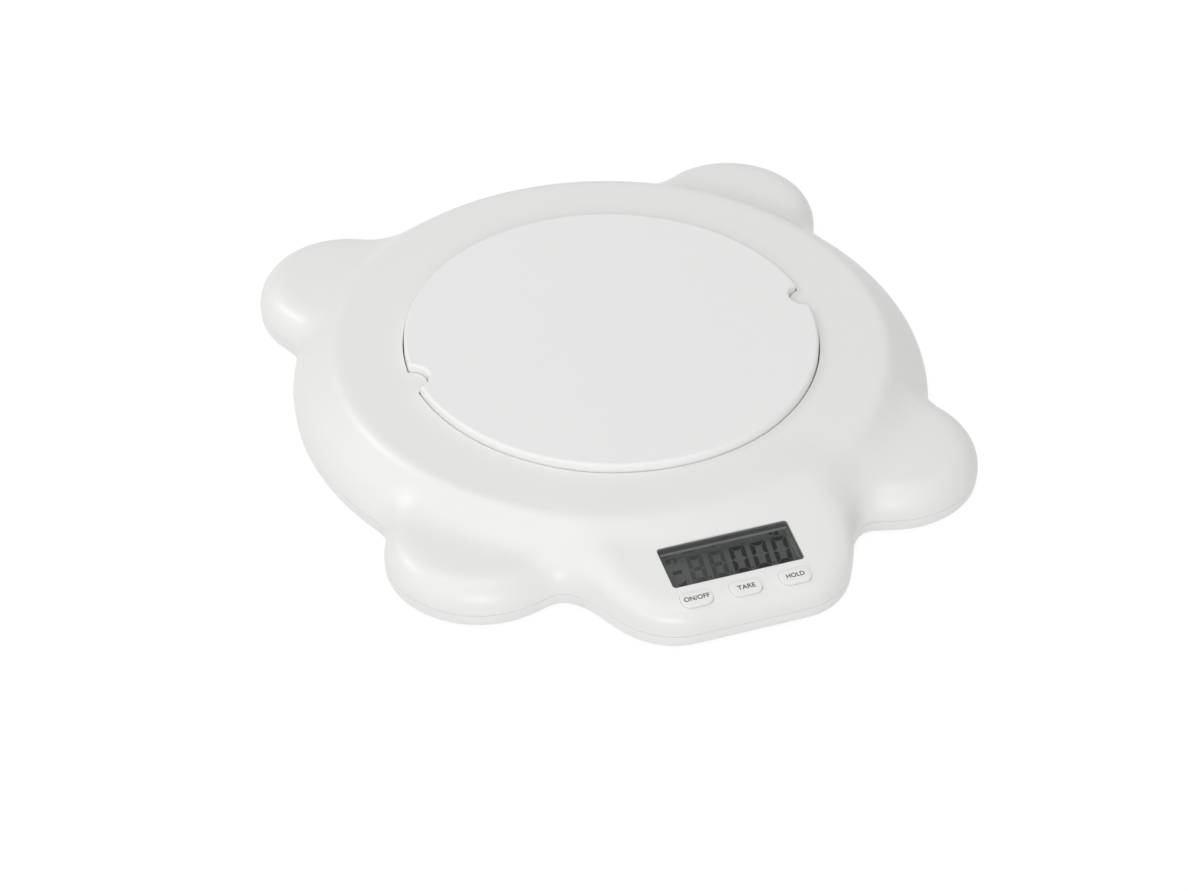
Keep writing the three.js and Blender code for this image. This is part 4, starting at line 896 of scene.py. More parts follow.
class BuildBottomCover(bpy.types.Operator):
    """Lofts the lower shell, with its screw towers, foot pockets, cell pad and battery bay"""

    bl_idname = "weighing_scale.build_bottom_cover"
    bl_label = "Build bottom cover"

    front_screw_side, front_screw_distance = 50 * MM, 146 * MM
    tower_radius, tower_top = 5.2 * MM, 10 * MM
    stop_radius, stop_top, stop_distance = 3.2 * MM, 23.1 * MM, 56 * MM
    cell_pad_size, cell_pad_top, cell_pad_x = (32 * MM, 24 * MM), 6 * MM, -27.5 * MM
    # Both walls of the battery bay together, and the thickness of its roof
    bay_walls, bay_cap = 9 * MM, 1.8 * MM
    # Wells: radius and top of the wide part, then of the narrow one
    screw_well = (3.5 * MM, 6.5 * MM, 1.9 * MM, 12 * MM)
    bolt_well = (4.7 * MM, 4.1 * MM, 2.7 * MM, 8 * MM)
    bolt_places = (-35 * MM, -20 * MM)
    well_soft = 0.35 * MM
    foot_pocket_radius, foot_pocket_depth = 9.3 * MM, 1.2 * MM
    door_room, rebate_top = 0.4 * MM, 4.1 * MM
    axle_way_size, axle_way_top = (57.2 * MM, 2.6 * MM), 4.9 * MM

    def execute(self, context):
        sizes = context.scene.scale_housing
        azimuths = section_azimuths()

        def wall(inset, height=PARTING_HEIGHT):
            """Radius of the wall at a height and a depth under its outside."""
            return skin_rays(sizes, azimuths, [0], inset, WELL_RADIUS, height)[0]

        seam, draft, bottom_round, floor_round = 0.14 * MM, 0.3 * MM, 1.8 * MM, 1.4 * MM
        lip_outside, lip_inside, lip_top = WALL + 0.5 * MM, WALL + 1.9 * MM, PARTING_HEIGHT + 2.2 * MM
        inner, side, outer = wall(lip_inside), wall(draft), wall(0)
        rows = [
            # From the floor up the inside, over the lip, and down to the seam
            (inner - 2.4 * MM, FLOOR_TOP),
            (inner - floor_round, FLOOR_TOP),
            (inner, FLOOR_TOP + floor_round),
            (inner, PARTING_HEIGHT),
            (wall(lip_inside, lip_top), lip_top),
            (wall(lip_outside, lip_top), lip_top),
            (wall(lip_outside), PARTING_HEIGHT - seam),
            # The seam's softened edge, the drafted outside and its rounded foot
            (outer - 0.25 * MM, PARTING_HEIGHT - seam),
            (outer - 0.04 * MM, PARTING_HEIGHT - seam - 0.05 * MM),
            (outer, PARTING_HEIGHT - seam - 0.2 * MM),
            (wall(draft / 2), (PARTING_HEIGHT + FLOOR_UNDERSIDE) / 2 + bottom_round / 2),
        ]
        for degrees in (0, 18, 36, 54, 72, 90):
            turn = math.radians(degrees)
            rise = bottom_round * (1 - math.sin(turn))
            rows.append((side - bottom_round * (1 - math.cos(turn)), FLOOR_UNDERSIDE + rise))
        rows.append((side - bottom_round - 1 * MM, FLOOR_UNDERSIDE))
        radius = np.concatenate([row[0] for row in rows], axis=1)
        height = np.array([[row[1] for row in rows]]) + 0 * radius
        cover = lofted("bottom_cover_shell", azimuths, radius, height, (FLOOR_TOP, FLOOR_UNDERSIDE))
        carve(cover, join("floor_parts", self.floor_parts()), "UNION")
        for tool in self.pockets():
            carve(cover, tool)
        smooth(cover)
        finish_piece(cover, finish("white_shell"), "housing", "white_shell", "bottom_cover")
        return {"FINISHED"}

    def screw_places(self):
        places = [diagonal(SCREW_DISTANCE, side, end) for side, end in CORNERS]
        front_y = AXIS_Y - self.front_screw_distance
        return places + [(side * self.front_screw_side, front_y) for side in (-1, 1)]

    def floor_parts(self):
        """Screw towers, overload stops, the pad under the cell and the battery bay's walls."""
        low = FLOOR_UNDERSIDE + 0.1 * MM
        parts = [
            rod("screw_tower", self.tower_radius, low, self.tower_top, x, y) for x, y in self.screw_places()
        ]
        for side, end in CORNERS:
            x, y = diagonal(self.stop_distance, side, end)
            parts.append(rod("overload_stop", self.stop_radius, low, self.stop_top, x, y, 32))
        parts.append(block("cell_pad", *self.cell_pad_size, low, self.cell_pad_top, self.cell_pad_x, AXIS_Y))
        bay = (BAY_LENGTH + self.bay_walls, BAY_WIDTH + self.bay_walls)
        parts.append(block("battery_bay", *bay, low, BAY_ROOF + self.bay_cap, 0, AXIS_Y + BAY_MIDDLE))
        return parts

    def pockets(self):
        """Tools for the screw and bolt wells, the foot pockets, and the battery bay, its rebate and axle."""
        under = FLOOR_UNDERSIDE - 1 * MM
        tools = [self.stepped_well("screw_well", x, y, *self.screw_well) for x, y in self.screw_places()]
        tools += [self.stepped_well("bolt_well", x, AXIS_Y, *self.bolt_well) for x in self.bolt_places]
        pocket_top = FLOOR_UNDERSIDE + self.foot_pocket_depth
        for side, end in CORNERS:
            x, y = diagonal(FOOT_DISTANCE, side, end)
            tools.append(rod("foot_pocket", self.foot_pocket_radius, under, pocket_top, x, y, 96))
        middle = AXIS_Y + BAY_MIDDLE
        hinge_y = middle + BAY_WIDTH / 2 + DOOR_REST - KNUCKLE_RADIUS
        room = DOOR_REST + self.door_room
        rebate = (BAY_LENGTH + 2 * room, BAY_WIDTH + 2 * room)
        tools.append(block("bay_room", BAY_LENGTH, BAY_WIDTH, under, BAY_ROOF, 0, middle))
        tools.append(block("door_rebate", *rebate, under, self.rebate_top, 0, middle))
        tools.append(block("axle_way", *self.axle_way_size, under, self.axle_way_top, 0, hinge_y))
        return tools

    def stepped_well(self, name, x, y, wide, wide_top, narrow, narrow_top):
        """A round well with a softened mouth and a narrower hole in its floor."""
        rings = [
            (wide + self.well_soft, FLOOR_UNDERSIDE - 1 * MM),
            (wide + self.well_soft, FLOOR_UNDERSIDE),
            (wide, FLOOR_UNDERSIDE + self.well_soft),
            (wide, wide_top),
            (narrow, wide_top + HAIR),
            (narrow, narrow_top),
        ]
        turns = [2 * math.pi * step / 48 for step in range(48)]
        return stack(
            name,
            [([(x + r * math.cos(t), y + r * math.sin(t)) for t in turns], height) for r, height in rings],
        )


class BuildPlatform(bpy.types.Operator):
    """Extrudes the platform from its notched outline, rounds its edge and hollows it, leaving a skirt"""

    bl_idname = "weighing_scale.build_platform"
    bl_label = "Build platform"

    plate_thickness, skirt_thickness = 2.8 * MM, 1.5 * MM
    rim_steps, soft_steps, notch_steps = 120, 9, 32
    # Webs under the plate, which start a little inside it
    web_start, web_thickness = 2.7 * MM, 1.6 * MM
    rib_turns = (22.5, 67.5, 112.5, 157.5, 202.5, 247.5, 292.5, 337.5)
    rib_length, rib_depth, rib_middle = 81 * MM, 5.1 * MM, 57.5 * MM
    ring_radii, ring_depth = (16 * MM, 42 * MM), 5 * MM
    boss_radius, boss_bottom, boss_distance = 4.5 * MM, 26.3 * MM, 70 * MM

    def outline(self, radius):
        """The round outline with two notches and small rounds where they meet the rim."""
        soft = NOTCH_SOFT
        x = ((radius - soft) ** 2 - (NOTCH_RADIUS + soft) ** 2 + NOTCH_CENTRE**2) / (2 * NOTCH_CENTRE)
        y = math.sqrt((radius - soft) ** 2 - x * x)
        rim = math.atan2(y, x)
        into_notch = math.atan2(y, x - NOTCH_CENTRE)
        half, fillet, notch = [], [], []
        for step in range(self.rim_steps + 1):
            turn = -math.pi / 2 + rim + step * (math.pi - 2 * rim) / self.rim_steps
            half.append((radius * math.sin(turn), radius * math.cos(turn)))
        for step in range(1, self.soft_steps):
            turn = rim + step * (into_notch - math.pi - rim) / self.soft_steps
            fillet.append((x + soft * math.cos(turn), y + soft * math.sin(turn)))
        for step in range(self.notch_steps + 1):
            turn = into_notch + step * 2 * (math.pi - into_notch) / self.notch_steps
            notch.append((NOTCH_CENTRE + NOTCH_RADIUS * math.cos(turn), NOTCH_RADIUS * math.sin(turn)))
        half += fillet + notch + [(px, -py) for px, py in reversed(fillet)]
        return half + [(-px, -py) for px, py in half]

    def execute(self, context):
        sizes = context.scene.scale_platform
        top = RING_HEIGHT + sizes.proud
        outline = [(x, AXIS_Y + y, top) for x, y in self.outline(sizes.radius)]
        plate = mesh_piece("weighing_platform_top", outline, [tuple(range(len(outline)))])
        bpy.ops.object.mode_set(mode="EDIT")
        bpy.ops.mesh.select_all(action="SELECT")
        bpy.ops.mesh.extrude_region_move(TRANSFORM_OT_translate={"value": (0, 0, -sizes.depth)})
        bpy.ops.mesh.select_all(action="SELECT")
        bpy.ops.mesh.normals_make_consistent(inside=False)
        round_edges(plate, topmost(top), sizes.edge_round, 7, profile=0.5, clamp_overlap=False)
        pick(plate, "FACE", lambda face, middle: face.normal.z < -0.9)
        bpy.ops.mesh.inset(thickness=self.skirt_thickness, use_even_offset=True)
        hollow = sizes.depth - self.plate_thickness
        bpy.ops.mesh.extrude_region_move(TRANSFORM_OT_translate={"value": (0, 0, hollow)})
        bpy.ops.object.mode_set(mode="OBJECT")
        tidy_faces(plate)
        carve(plate, self.webs(top), "UNION")
        smooth(plate)
        bpy.ops.object.mode_set(mode="EDIT")
        pick(plate, "FACE", lambda face, middle: face.normal.z > 0.999 and middle.z > top - NEAR)
        bpy.ops.mesh.faces_shade_flat()
        bpy.ops.object.mode_set(mode="OBJECT")
        finish_piece(plate, finish("white_satin"), "weighing_platform", "white_satin", "platform")
        return {"FINISHED"}

    def webs(self, top):
        """Ribs, hub and screw bosses under the plate."""
        under = top - self.web_start
        parts = []
        rib_size = (self.rib_length, self.web_thickness)
        for degrees in self.rib_turns:
            turn = math.radians(degrees)
            rib = block("rib", *rib_size, under - self.rib_depth, under, self.rib_middle)
            parts.append(settle(rib, Matrix.Translation((0, AXIS_Y, 0)) @ Matrix.Rotation(turn, 4, "Z")))
        low, high = under - self.ring_depth, under - 0.01 * MM
        for radius in self.ring_radii:
            ring = rod("rib_ring", radius, low, high, 0, AXIS_Y, 72)
            inside = radius - self.web_thickness
            carve(ring, rod("rib_ring_hollow", inside, under - 6 * MM, under + 1 * MM, 0, AXIS_Y, 72))
            parts.append(ring)
        for side, end in CORNERS:
            x, y = diagonal(self.boss_distance, side, end)
            parts.append(rod("screw_boss", self.boss_radius, self.boss_bottom, under - 0.02 * MM, x, y, 32))
        whole = parts[0]
        for part in parts[1:]:
            carve(whole, part, "UNION")
        return whole


class BuildDisplay(bpy.types.Operator):
    """Builds the smoked window, its printed border and the digits and signs of the liquid crystal"""

    bl_idname = "weighing_scale.build_display"
    bl_label = "Build display"

    # The liquid crystal's layout, in millimetres on the glass from the middle of the display. A box is
    # its middle and its half sizes
    digit_places = (-20.25, -9.9, 0.5, 10.7, 20.95)
    digits_at_rest = 2
    digit_width = 7.7
    digit_height = 14.9
    digit_middle = -0.4
    digit_shift = 0.65
    stroke = 2.15
    lean = 0.115
    gap = 0.3
    point_after, point_y, point_half = 0.9, -6.7, 0.55
    minus = [(-27.5, -1.0), (-23.4, -1.0), (-22.9, 0.0), (-23.2, 1.0), (-27.3, 1.0), (-27.8, 0.0)]
    pointer = [(-27.9, -7.7), (-23.3, -8.0), (-23.0, -5.2)]
    disc_x, disc_y, disc_radius = -27.3, 6.9, 1.5
    upright_bar = [(-24.6, 5.6), (-23.4, 5.6), (-23.4, 8.4), (-24.6, 8.4)]
    # Painted reflection: a pale band along the glass's right edge for the lit right wall of the recess
    wall_reflection_box = (31.5, 2.0, 0.6, 9.7)
    # Painted light: a lighter strip under the top border that brightens the shade the border casts on the
    # glass
    painted_light_box = (0, 10.4, 31.9, 2.0)
    # Painted highlight: a pale line that stands for the highlight seen along the top of the window
    highlight_line_box = (0, 8.62, 30.8, 0.66)
    border_width = 0.5
    clear_share, clear_drop = 0.942, 1.09
    # Name, word, middle, letter height, finish and, for one, its width
    signs = (
        ("display_unit_kg", "kg", 25.5, 9.8, 3.0, "lcd_dark", 4.7),
        ("display_unit_lb", "lb", -4.1, 10.4, 1.9, "lcd_ghost"),
        ("display_hold_sign", "HOLD", -16.1, 10.4, 1.7, "lcd_ghost"),
    )

    def execute(self, context):
        self.window()
        self.border()
        glass_top = -GLASS_DEPTH
        dark, ghost = [], []
        for index, left in enumerate(self.digit_places):
            bars = self.bars(left)
            if index < self.digits_at_rest:
                ghost += list(bars.values())
            else:
                dark += [bars[name] for name in bars if name != "middle"]
            if left != self.digit_places[-1]:
                point_x = left + self.digit_width + self.point_after
                ghost.append(self.box(point_x, self.point_y, self.point_half, self.point_half))
        turns = [math.pi * step / 8 for step in range(16)]
        r = self.disc_radius
        ghost.append([(self.disc_x + r * math.cos(t), self.disc_y + r * math.sin(t)) for t in turns])
        ghost.append(self.upright_bar)
        self.plates("display_digits", dark + [self.pointer], glass_top, "lcd_dark")
        self.plates("display_minus", [self.minus], glass_top, "lcd_minus")
        self.plates("display_digits_at_rest", ghost, glass_top, "lcd_ghost")
        # A pale band painted on the glass as the reflection of the recess's lit right wall
        self.plates("display_painted_wall_reflection", [self.box(*self.wall_reflection_box)], glass_top, "wall_reflection_tone")
        # A lighter strip painted under the top border to lift the shade that falls there
        self.plates("display_painted_light_strip", [self.box(*self.painted_light_box)], glass_top - 0.02 * MM, "painted_light_tone")
        for sign in self.signs:
            self.word(*sign)
        return {"FINISHED"}

    def window(self):
        """The smoked window, a fit smaller than its recess."""
        width, height = WINDOW_SIZE[0] - 2 * WINDOW_FIT, WINDOW_SIZE[1] - 2 * WINDOW_FIT
        window = block("display_window", width, height, -WINDOW_THICKNESS, 0)
        bpy.ops.object.mode_set(mode="EDIT")
        round_edges(window, upright, WINDOW_CORNER - WINDOW_FIT, 8)
        round_edges(window, topmost(0), 0.18 * MM, 3)
        bpy.ops.object.mode_set(mode="OBJECT")
        smooth(window)
        settle(window, panel_matrix())
        finish_piece(window, finish("smoke_lens"), "housing", "smoke_lens", "display_lens")

    def border(self):
        """The printed border, a thin frame in the gap between the window and its ledge, and a pale line of
        painted highlight.
        """
        width, height = WINDOW_SIZE[0] - 2 * WINDOW_FIT, WINDOW_SIZE[1] - 2 * WINDOW_FIT
        low, high = -WINDOW_THICKNESS - 0.07 * MM, -WINDOW_THICKNESS - 0.01 * MM
        outline = rounded_outline(width, height, WINDOW_CORNER, WINDOW_CORNER)
        inside = rounded_outline(width, height, WINDOW_CORNER, WINDOW_CORNER, -self.border_width * MM)
        clear = [(x, y * self.clear_share - self.clear_drop * MM) for x, y in inside]
        border = stack("window_border_print", [(outline, low), (outline, high)])
        carve(border, stack("border_hollow", [(clear, low - 1 * MM), (clear, high + 1 * MM)]))
        settle(border, panel_matrix())
        finish_piece(border, finish("window_border"), "housing", "smoke_lens")
        # The pale line is painted highlight, not print
        line = self.metres(self.box(*self.highlight_line_box))
        line = stack("window_painted_highlight_line", [(line, low), (line, high)])
        settle(line, panel_matrix())
        finish_piece(line, finish("highlight_line_tone"), "housing", "smoke_lens")

    def bars(self, left):
        """Seven bars of one digit, in millimetres on the glass, leaning as the real ones do."""
        w, h, t, g = self.digit_width, self.digit_height, self.stroke, self.gap
        half, over, under = h / 2, h / 2 + t / 2 + g, h / 2 - t / 2 - g
        upper = [(0, h - g), (0, half + g), (t / 2, half + g), (t, over), (t, h - t - g)]
        lower = [(0, g), (0, half - g), (t / 2, half - g), (t, under), (t, t + g)]
        shapes = {
            "top": [(g, h), (w - g, h), (w - t - g, h - t), (t + g, h - t)],
            "bottom": [(g, 0), (w - g, 0), (w - t - g, t), (t + g, t)],
            "upper_left": upper,
            "lower_left": lower,
            "upper_right": [(w - x, y) for x, y in upper],
            "lower_right": [(w - x, y) for x, y in lower],
            "middle": [
                (t * 0.55 + g, half),
                (t + g, half + t / 2),
                (w - t - g, half + t / 2),
                (w - t * 0.55 - g, half),
                (w - t - g, half - t / 2),
                (t + g, half - t / 2),
            ],
        }
        base = self.digit_middle - half
        return {
            name: [(left + x + self.lean * (y - half) + self.digit_shift, base + y) for x, y in shape]
            for name, shape in shapes.items()
        }

    def box(self, x, y, half_width, half_height):
        return [
            (x - half_width, y - half_height),
            (x + half_width, y - half_height),
            (x + half_width, y + half_height),
            (x - half_width, y + half_height),
        ]

    def metres(self, shape):
        return [(x * MM, y * MM) for x, y in shape]

    def plates(self, name, shapes, level, key):
        """Thin plates on the glass, one for each shape."""
        low, high = level + 0.01 * MM, level + 0.06 * MM
        outlines = [self.metres(shape) for shape in shapes]
        piece = join(name, [stack(name, [(outline, low), (outline, high)]) for outline in outlines])
        settle(piece, panel_matrix())
        finish_piece(piece, finish(key), "housing", "lcd_glass")

    def word(self, name, word, x, y, letter_height, key, width=None):
        """A word on the glass, in the liquid crystal's own tone."""
        piece = flat_word(name, word, letter_height * MM, 0.05 * MM, width and width * MM, 0.02)
        settle(piece, panel_matrix(x * MM, y * MM, -GLASS_DEPTH + 0.01 * MM))
        finish_piece(piece, finish(key), "housing", "lcd_glass")


def flat_word(name, word, letter_height, thickness, width=None, bolder=0.0, spacing=1.0):
    """A word in plain letters, centred on its middle, as a thin plate that stands on z = 0."""
    bpy.ops.object.select_all(action="DESELECT")
    bpy.ops.object.text_add(location=(0, 0, 0))
    piece = added(name)
    letters = piece.data
    letters.body = word
    letters.size = 1.0
    letters.space_character = spacing
    letters.offset = bolder
    letters.extrude = 0.5
    letters.resolution_u = 6
    bpy.ops.object.convert(target="MESH")
    piece = bpy.context.active_object
    low, high = (Vector(piece.bound_box[0]), Vector(piece.bound_box[6]))
    scale_y = letter_height / (high.y - low.y)
    scale_x = scale_y if width is None else width / (high.x - low.x)
    middle = (low + high) / 2
    centred = Matrix.Translation((-middle.x, -middle.y, -low.z))
    piece.data.transform(Matrix.Diagonal((scale_x, scale_y, thickness / (high.z - low.z), 1)) @ centred)
    tidy_faces(piece)
    return piece


class BuildKeys(bpy.types.Operator):
    """Models one key from a block, copies it for the three places and prints its word on each"""

    bl_idname = "weighing_scale.build_keys"
    bl_label = "Build keys"

    # Word, its width and its place on the panel, in millimetres
    words = {"power": ("ON/OFF", 12.3, -20.0), "tare": ("TARE", 8.5, -20.2), "hold": ("HOLD", 8.7, -20.0)}
    print_thickness, print_sunk = 0.06 * MM, 0.02 * MM
    letters_bolder, letter_spacing = 0.014, 1.03
    cap_bottom, crown_inset, crown_rise = -3.9 * MM, 1.1 * MM, 0.05 * MM

    def execute(self, context):
        sizes = context.scene.scale_keys
        pattern = self.key_cap(sizes)
        top = sizes.proud + self.crown_rise
        for name, place in KEY_PLACES.items():
            cap = copied(pattern, f"{name}_key_cap", panel_matrix(place, -KEY_FORWARD, 0))
            finish_piece(cap, finish("button_white"), f"{name}_key", "button_white", f"{name}_button")
            word, width, across = self.words[name]
            letters = flat_word(
                f"{name}_key_word",
                word,
                sizes.letter_height,
                self.print_thickness,
                width * MM,
                self.letters_bolder,
                self.letter_spacing,
            )
            settle(letters, panel_matrix(place, across * MM, top - self.print_sunk))
            finish_piece(letters, finish("key_ink"), f"{name}_key", "button_white")
        bpy.data.objects.remove(pattern)
        return {"FINISHED"}

    def key_cap(self, sizes):
        """One key cap with unlike corners, a rounded edge and a slightly raised face."""
        width, height = KEY_SIZE
        top = sizes.proud
        cap = block("key_cap_pattern", width, height, self.cap_bottom, top)
        bpy.ops.object.mode_set(mode="EDIT")
        for end, corner in ((1, KEY_CORNERS[0]), (-1, KEY_CORNERS[1])):
            round_edges(
                cap,
                lambda edge, middle: upright(edge, middle)
                and end * middle.y > height / 2 - NEAR
                and abs(middle.x) > width / 2 - NEAR,
                corner,
                10,
            )
        round_edges(cap, topmost(top), sizes.edge_round, 5)
        pick(cap, "FACE", lambda face, middle: face.normal.z > 0.99 and middle.z > top - NEAR)
        bpy.ops.mesh.inset(thickness=self.crown_inset, use_even_offset=True)
        bpy.ops.transform.translate(value=(0, 0, self.crown_rise))
        bpy.ops.object.mode_set(mode="OBJECT")
        tidy_faces(cap)
        smooth(cap)
        return cap


class BuildFeet(bpy.types.Operator):
    """Models one rubber foot with a rounded edge and two grooves, and copies it under the four paws"""

    bl_idname = "weighing_scale.build_feet"
    bl_label = "Build feet"

    pad_radius, pad_height, pad_round = 9 * MM, 3.1 * MM, 0.8 * MM
    # Rings of the pad's face from its edge inwards: width and rise, in millimetres
    face_rings = ((1.6, 0), (0.7, 0.5), (1.6, -0.5), (0.7, 0.5))

    def execute(self, context):
        pattern = rod("foot_pattern", self.pad_radius, 0, self.pad_height, corners=96)
        bpy.ops.object.mode_set(mode="EDIT")
        round_edges(pattern, lambda edge, middle: all(v.co.z < HAIR for v in edge.verts), self.pad_round, 5)
        pick(pattern, "FACE", lambda face, middle: face.normal.z < -0.99 and middle.z < HAIR)
        for inset, rise in self.face_rings:
            bpy.ops.mesh.inset(thickness=inset * MM, use_even_offset=True)
            bpy.ops.transform.translate(value=(0, 0, rise * MM))
        bpy.ops.object.mode_set(mode="OBJECT")
        smooth(pattern, 40)
        for name, (side, end) in FOOT_PLACES.items():
            x, y = diagonal(FOOT_DISTANCE, side, end)
            foot = copied(pattern, f"{name}_foot_pad", Matrix.Translation((x, y, 0)))
            finish_piece(foot, finish("foot_rubber"), "housing", "foot_rubber", f"{name}_foot")
        bpy.data.objects.remove(pattern)
        return {"FINISHED"}


class BuildBatteryDoor(bpy.types.Operator):
    """Models the battery door with its ribbed thumb grip, knuckle and pins"""

    bl_idname = "weighing_scale.build_battery_door"
    bl_label = "Build battery door"

    corner_round, edge_round = 1.6 * MM, 0.3 * MM
    grip_inset, grip_radius, grip_depth = 3.6 * MM, 6.5 * MM, 0.9 * MM
    ridge_size, ridge_pitch = (6.5 * MM, 0.8 * MM), 2.1 * MM
    pin_radius, pin_reach = 1 * MM, 1.2 * MM

    def execute(self, context):
        half_depth = BAY_WIDTH / 2 + DOOR_REST
        half_width = BAY_LENGTH / 2 + DOOR_REST
        middle = AXIS_Y + BAY_MIDDLE
        low, high = FLOOR_UNDERSIDE, FLOOR_UNDERSIDE + DOOR_THICKNESS
        hinge_y, hinge_z = middle + half_depth - KNUCKLE_RADIUS, low + KNUCKLE_RADIUS
        leaf = (2 * half_width, 2 * half_depth - KNUCKLE_RADIUS)
        door = block("battery_door_cover", *leaf, low, high, 0, middle - KNUCKLE_RADIUS / 2)
        bpy.ops.object.mode_set(mode="EDIT")
        round_edges(door, lambda edge, place: upright(edge, place) and place.y < middle, self.corner_round, 6)
        round_edges(
            door,
            lambda edge, place: all(v.co.z < low + HAIR for v in edge.verts) and place.y < hinge_y - 0.1 * MM,
            self.edge_round,
            3,
        )
        bpy.ops.object.mode_set(mode="OBJECT")
        tidy_faces(door)
        grip_y = middle - half_depth + self.grip_inset
        carve(door, rod("grip_dish", self.grip_radius, low - 1 * MM, low + self.grip_depth, 0, grip_y, 64))
        for row in (-1, 0, 1):
            ridge_y = grip_y + row * self.ridge_pitch
            ridge = block("grip_ridge", *self.ridge_size, low + 0.1 * MM, low + 1.3 * MM, 0, ridge_y)
            carve(door, ridge, "UNION")
        for name, radius, reach in (
            ("knuckle", KNUCKLE_RADIUS, half_width),
            ("pins", self.pin_radius, half_width + self.pin_reach),
        ):
            bpy.ops.object.select_all(action="DESELECT")
            bpy.ops.mesh.primitive_cylinder_add(
                vertices=32,
                radius=radius,
                depth=2 * reach,
                location=(0, hinge_y, hinge_z),
                rotation=(0, math.pi / 2, 0),
            )
            carve(door, settle(added(name)), "UNION")
        smooth(door)
        finish_piece(door, finish("white_shell"), "battery_door", "white_shell", "battery_door")
        return {"FINISHED"}


class BuildSpacer(bpy.types.Operator):
    """Cuts the plate between load cell and carrier, with the room that the cell takes as it bends"""

    bl_idname = "weighing_scale.build_spacer"
    bl_label = "Build spacer"

    bend_room = 0.52 * MM
    corner_round = 1.2 * MM
    hole_radius = 2.7 * MM
    hole_inset = 5.5 * MM

    def execute(self, context):
        low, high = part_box("cell_top_spacer")
        size, middle = high - low, (low + high) / 2
        bottom = low.z + self.bend_room
        plate = block("load_spacer_plate", size.x, size.y, bottom, high.z, middle.x, middle.y)
        bpy.ops.object.mode_set(mode="EDIT")
        round_edges(plate, upright, self.corner_round, 5)
        bpy.ops.object.mode_set(mode="OBJECT")
        for x in (low.x + self.hole_inset, high.x - self.hole_inset):
            carve(plate, rod("bolt_hole", self.hole_radius, low.z - 1 * MM, high.z + 1 * MM, x, middle.y, 48))
        smooth(plate)
        finish_piece(plate, finish("zinc_plate"), "weighing_platform", "zinc_plate", "cell_top_spacer")
        return {"FINISHED"}


class DressInnerParts(bpy.types.Operator):
    """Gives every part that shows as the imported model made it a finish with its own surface"""

    bl_idname = "weighing_scale.dress_inner_parts"
    bl_label = "Dress inner parts"

    finishes = {
        "platform_carrier": "zinc_plate",
        "load_cell": "cell_aluminium",
        "strain_gauge_cover": "silicone",
        "cell_base_spacer": "zinc_plate",
        "lcd_glass": "lcd_glass",
        "lcd_frame": "white_satin",
        "zebra_strip": "elastomer",
        "circuit_board": "board_green",
        "controller_chip": "black_resin",
        "cell_lead": "grey_cable",
        "battery_lead": "black_cable",
    }
    starts = {
        "battery_spring": "contact_nickel",
        "battery_contact": "contact_nickel",
        "battery_": "battery_label",
        "cell_base_bolt": "screw_steel",
        "cell_top_bolt": "screw_steel",
        "platform_screw": "screw_steel",
        "cover_screw": "screw_steel",
        "board_screw": "screw_steel",
    }
    ends = {"_switch": "black_plastic", "_plunger": "black_plastic"}

    def execute(self, context):
        for name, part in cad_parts.items():
            if part.hide_render:
                continue
            key = self.finishes.get(name)
            key = key or next((f for end, f in self.ends.items() if name.endswith(end)), None)
            key = key or next((f for start, f in self.starts.items() if name.startswith(start)), None)
            if key is None:
                raise RuntimeError(f"{name} has no finish")
            if not part.material_slots:
                part.data.materials.append(finish(key))
            for slot in part.material_slots:
                slot.material = finish(key)
        return {"FINISHED"}


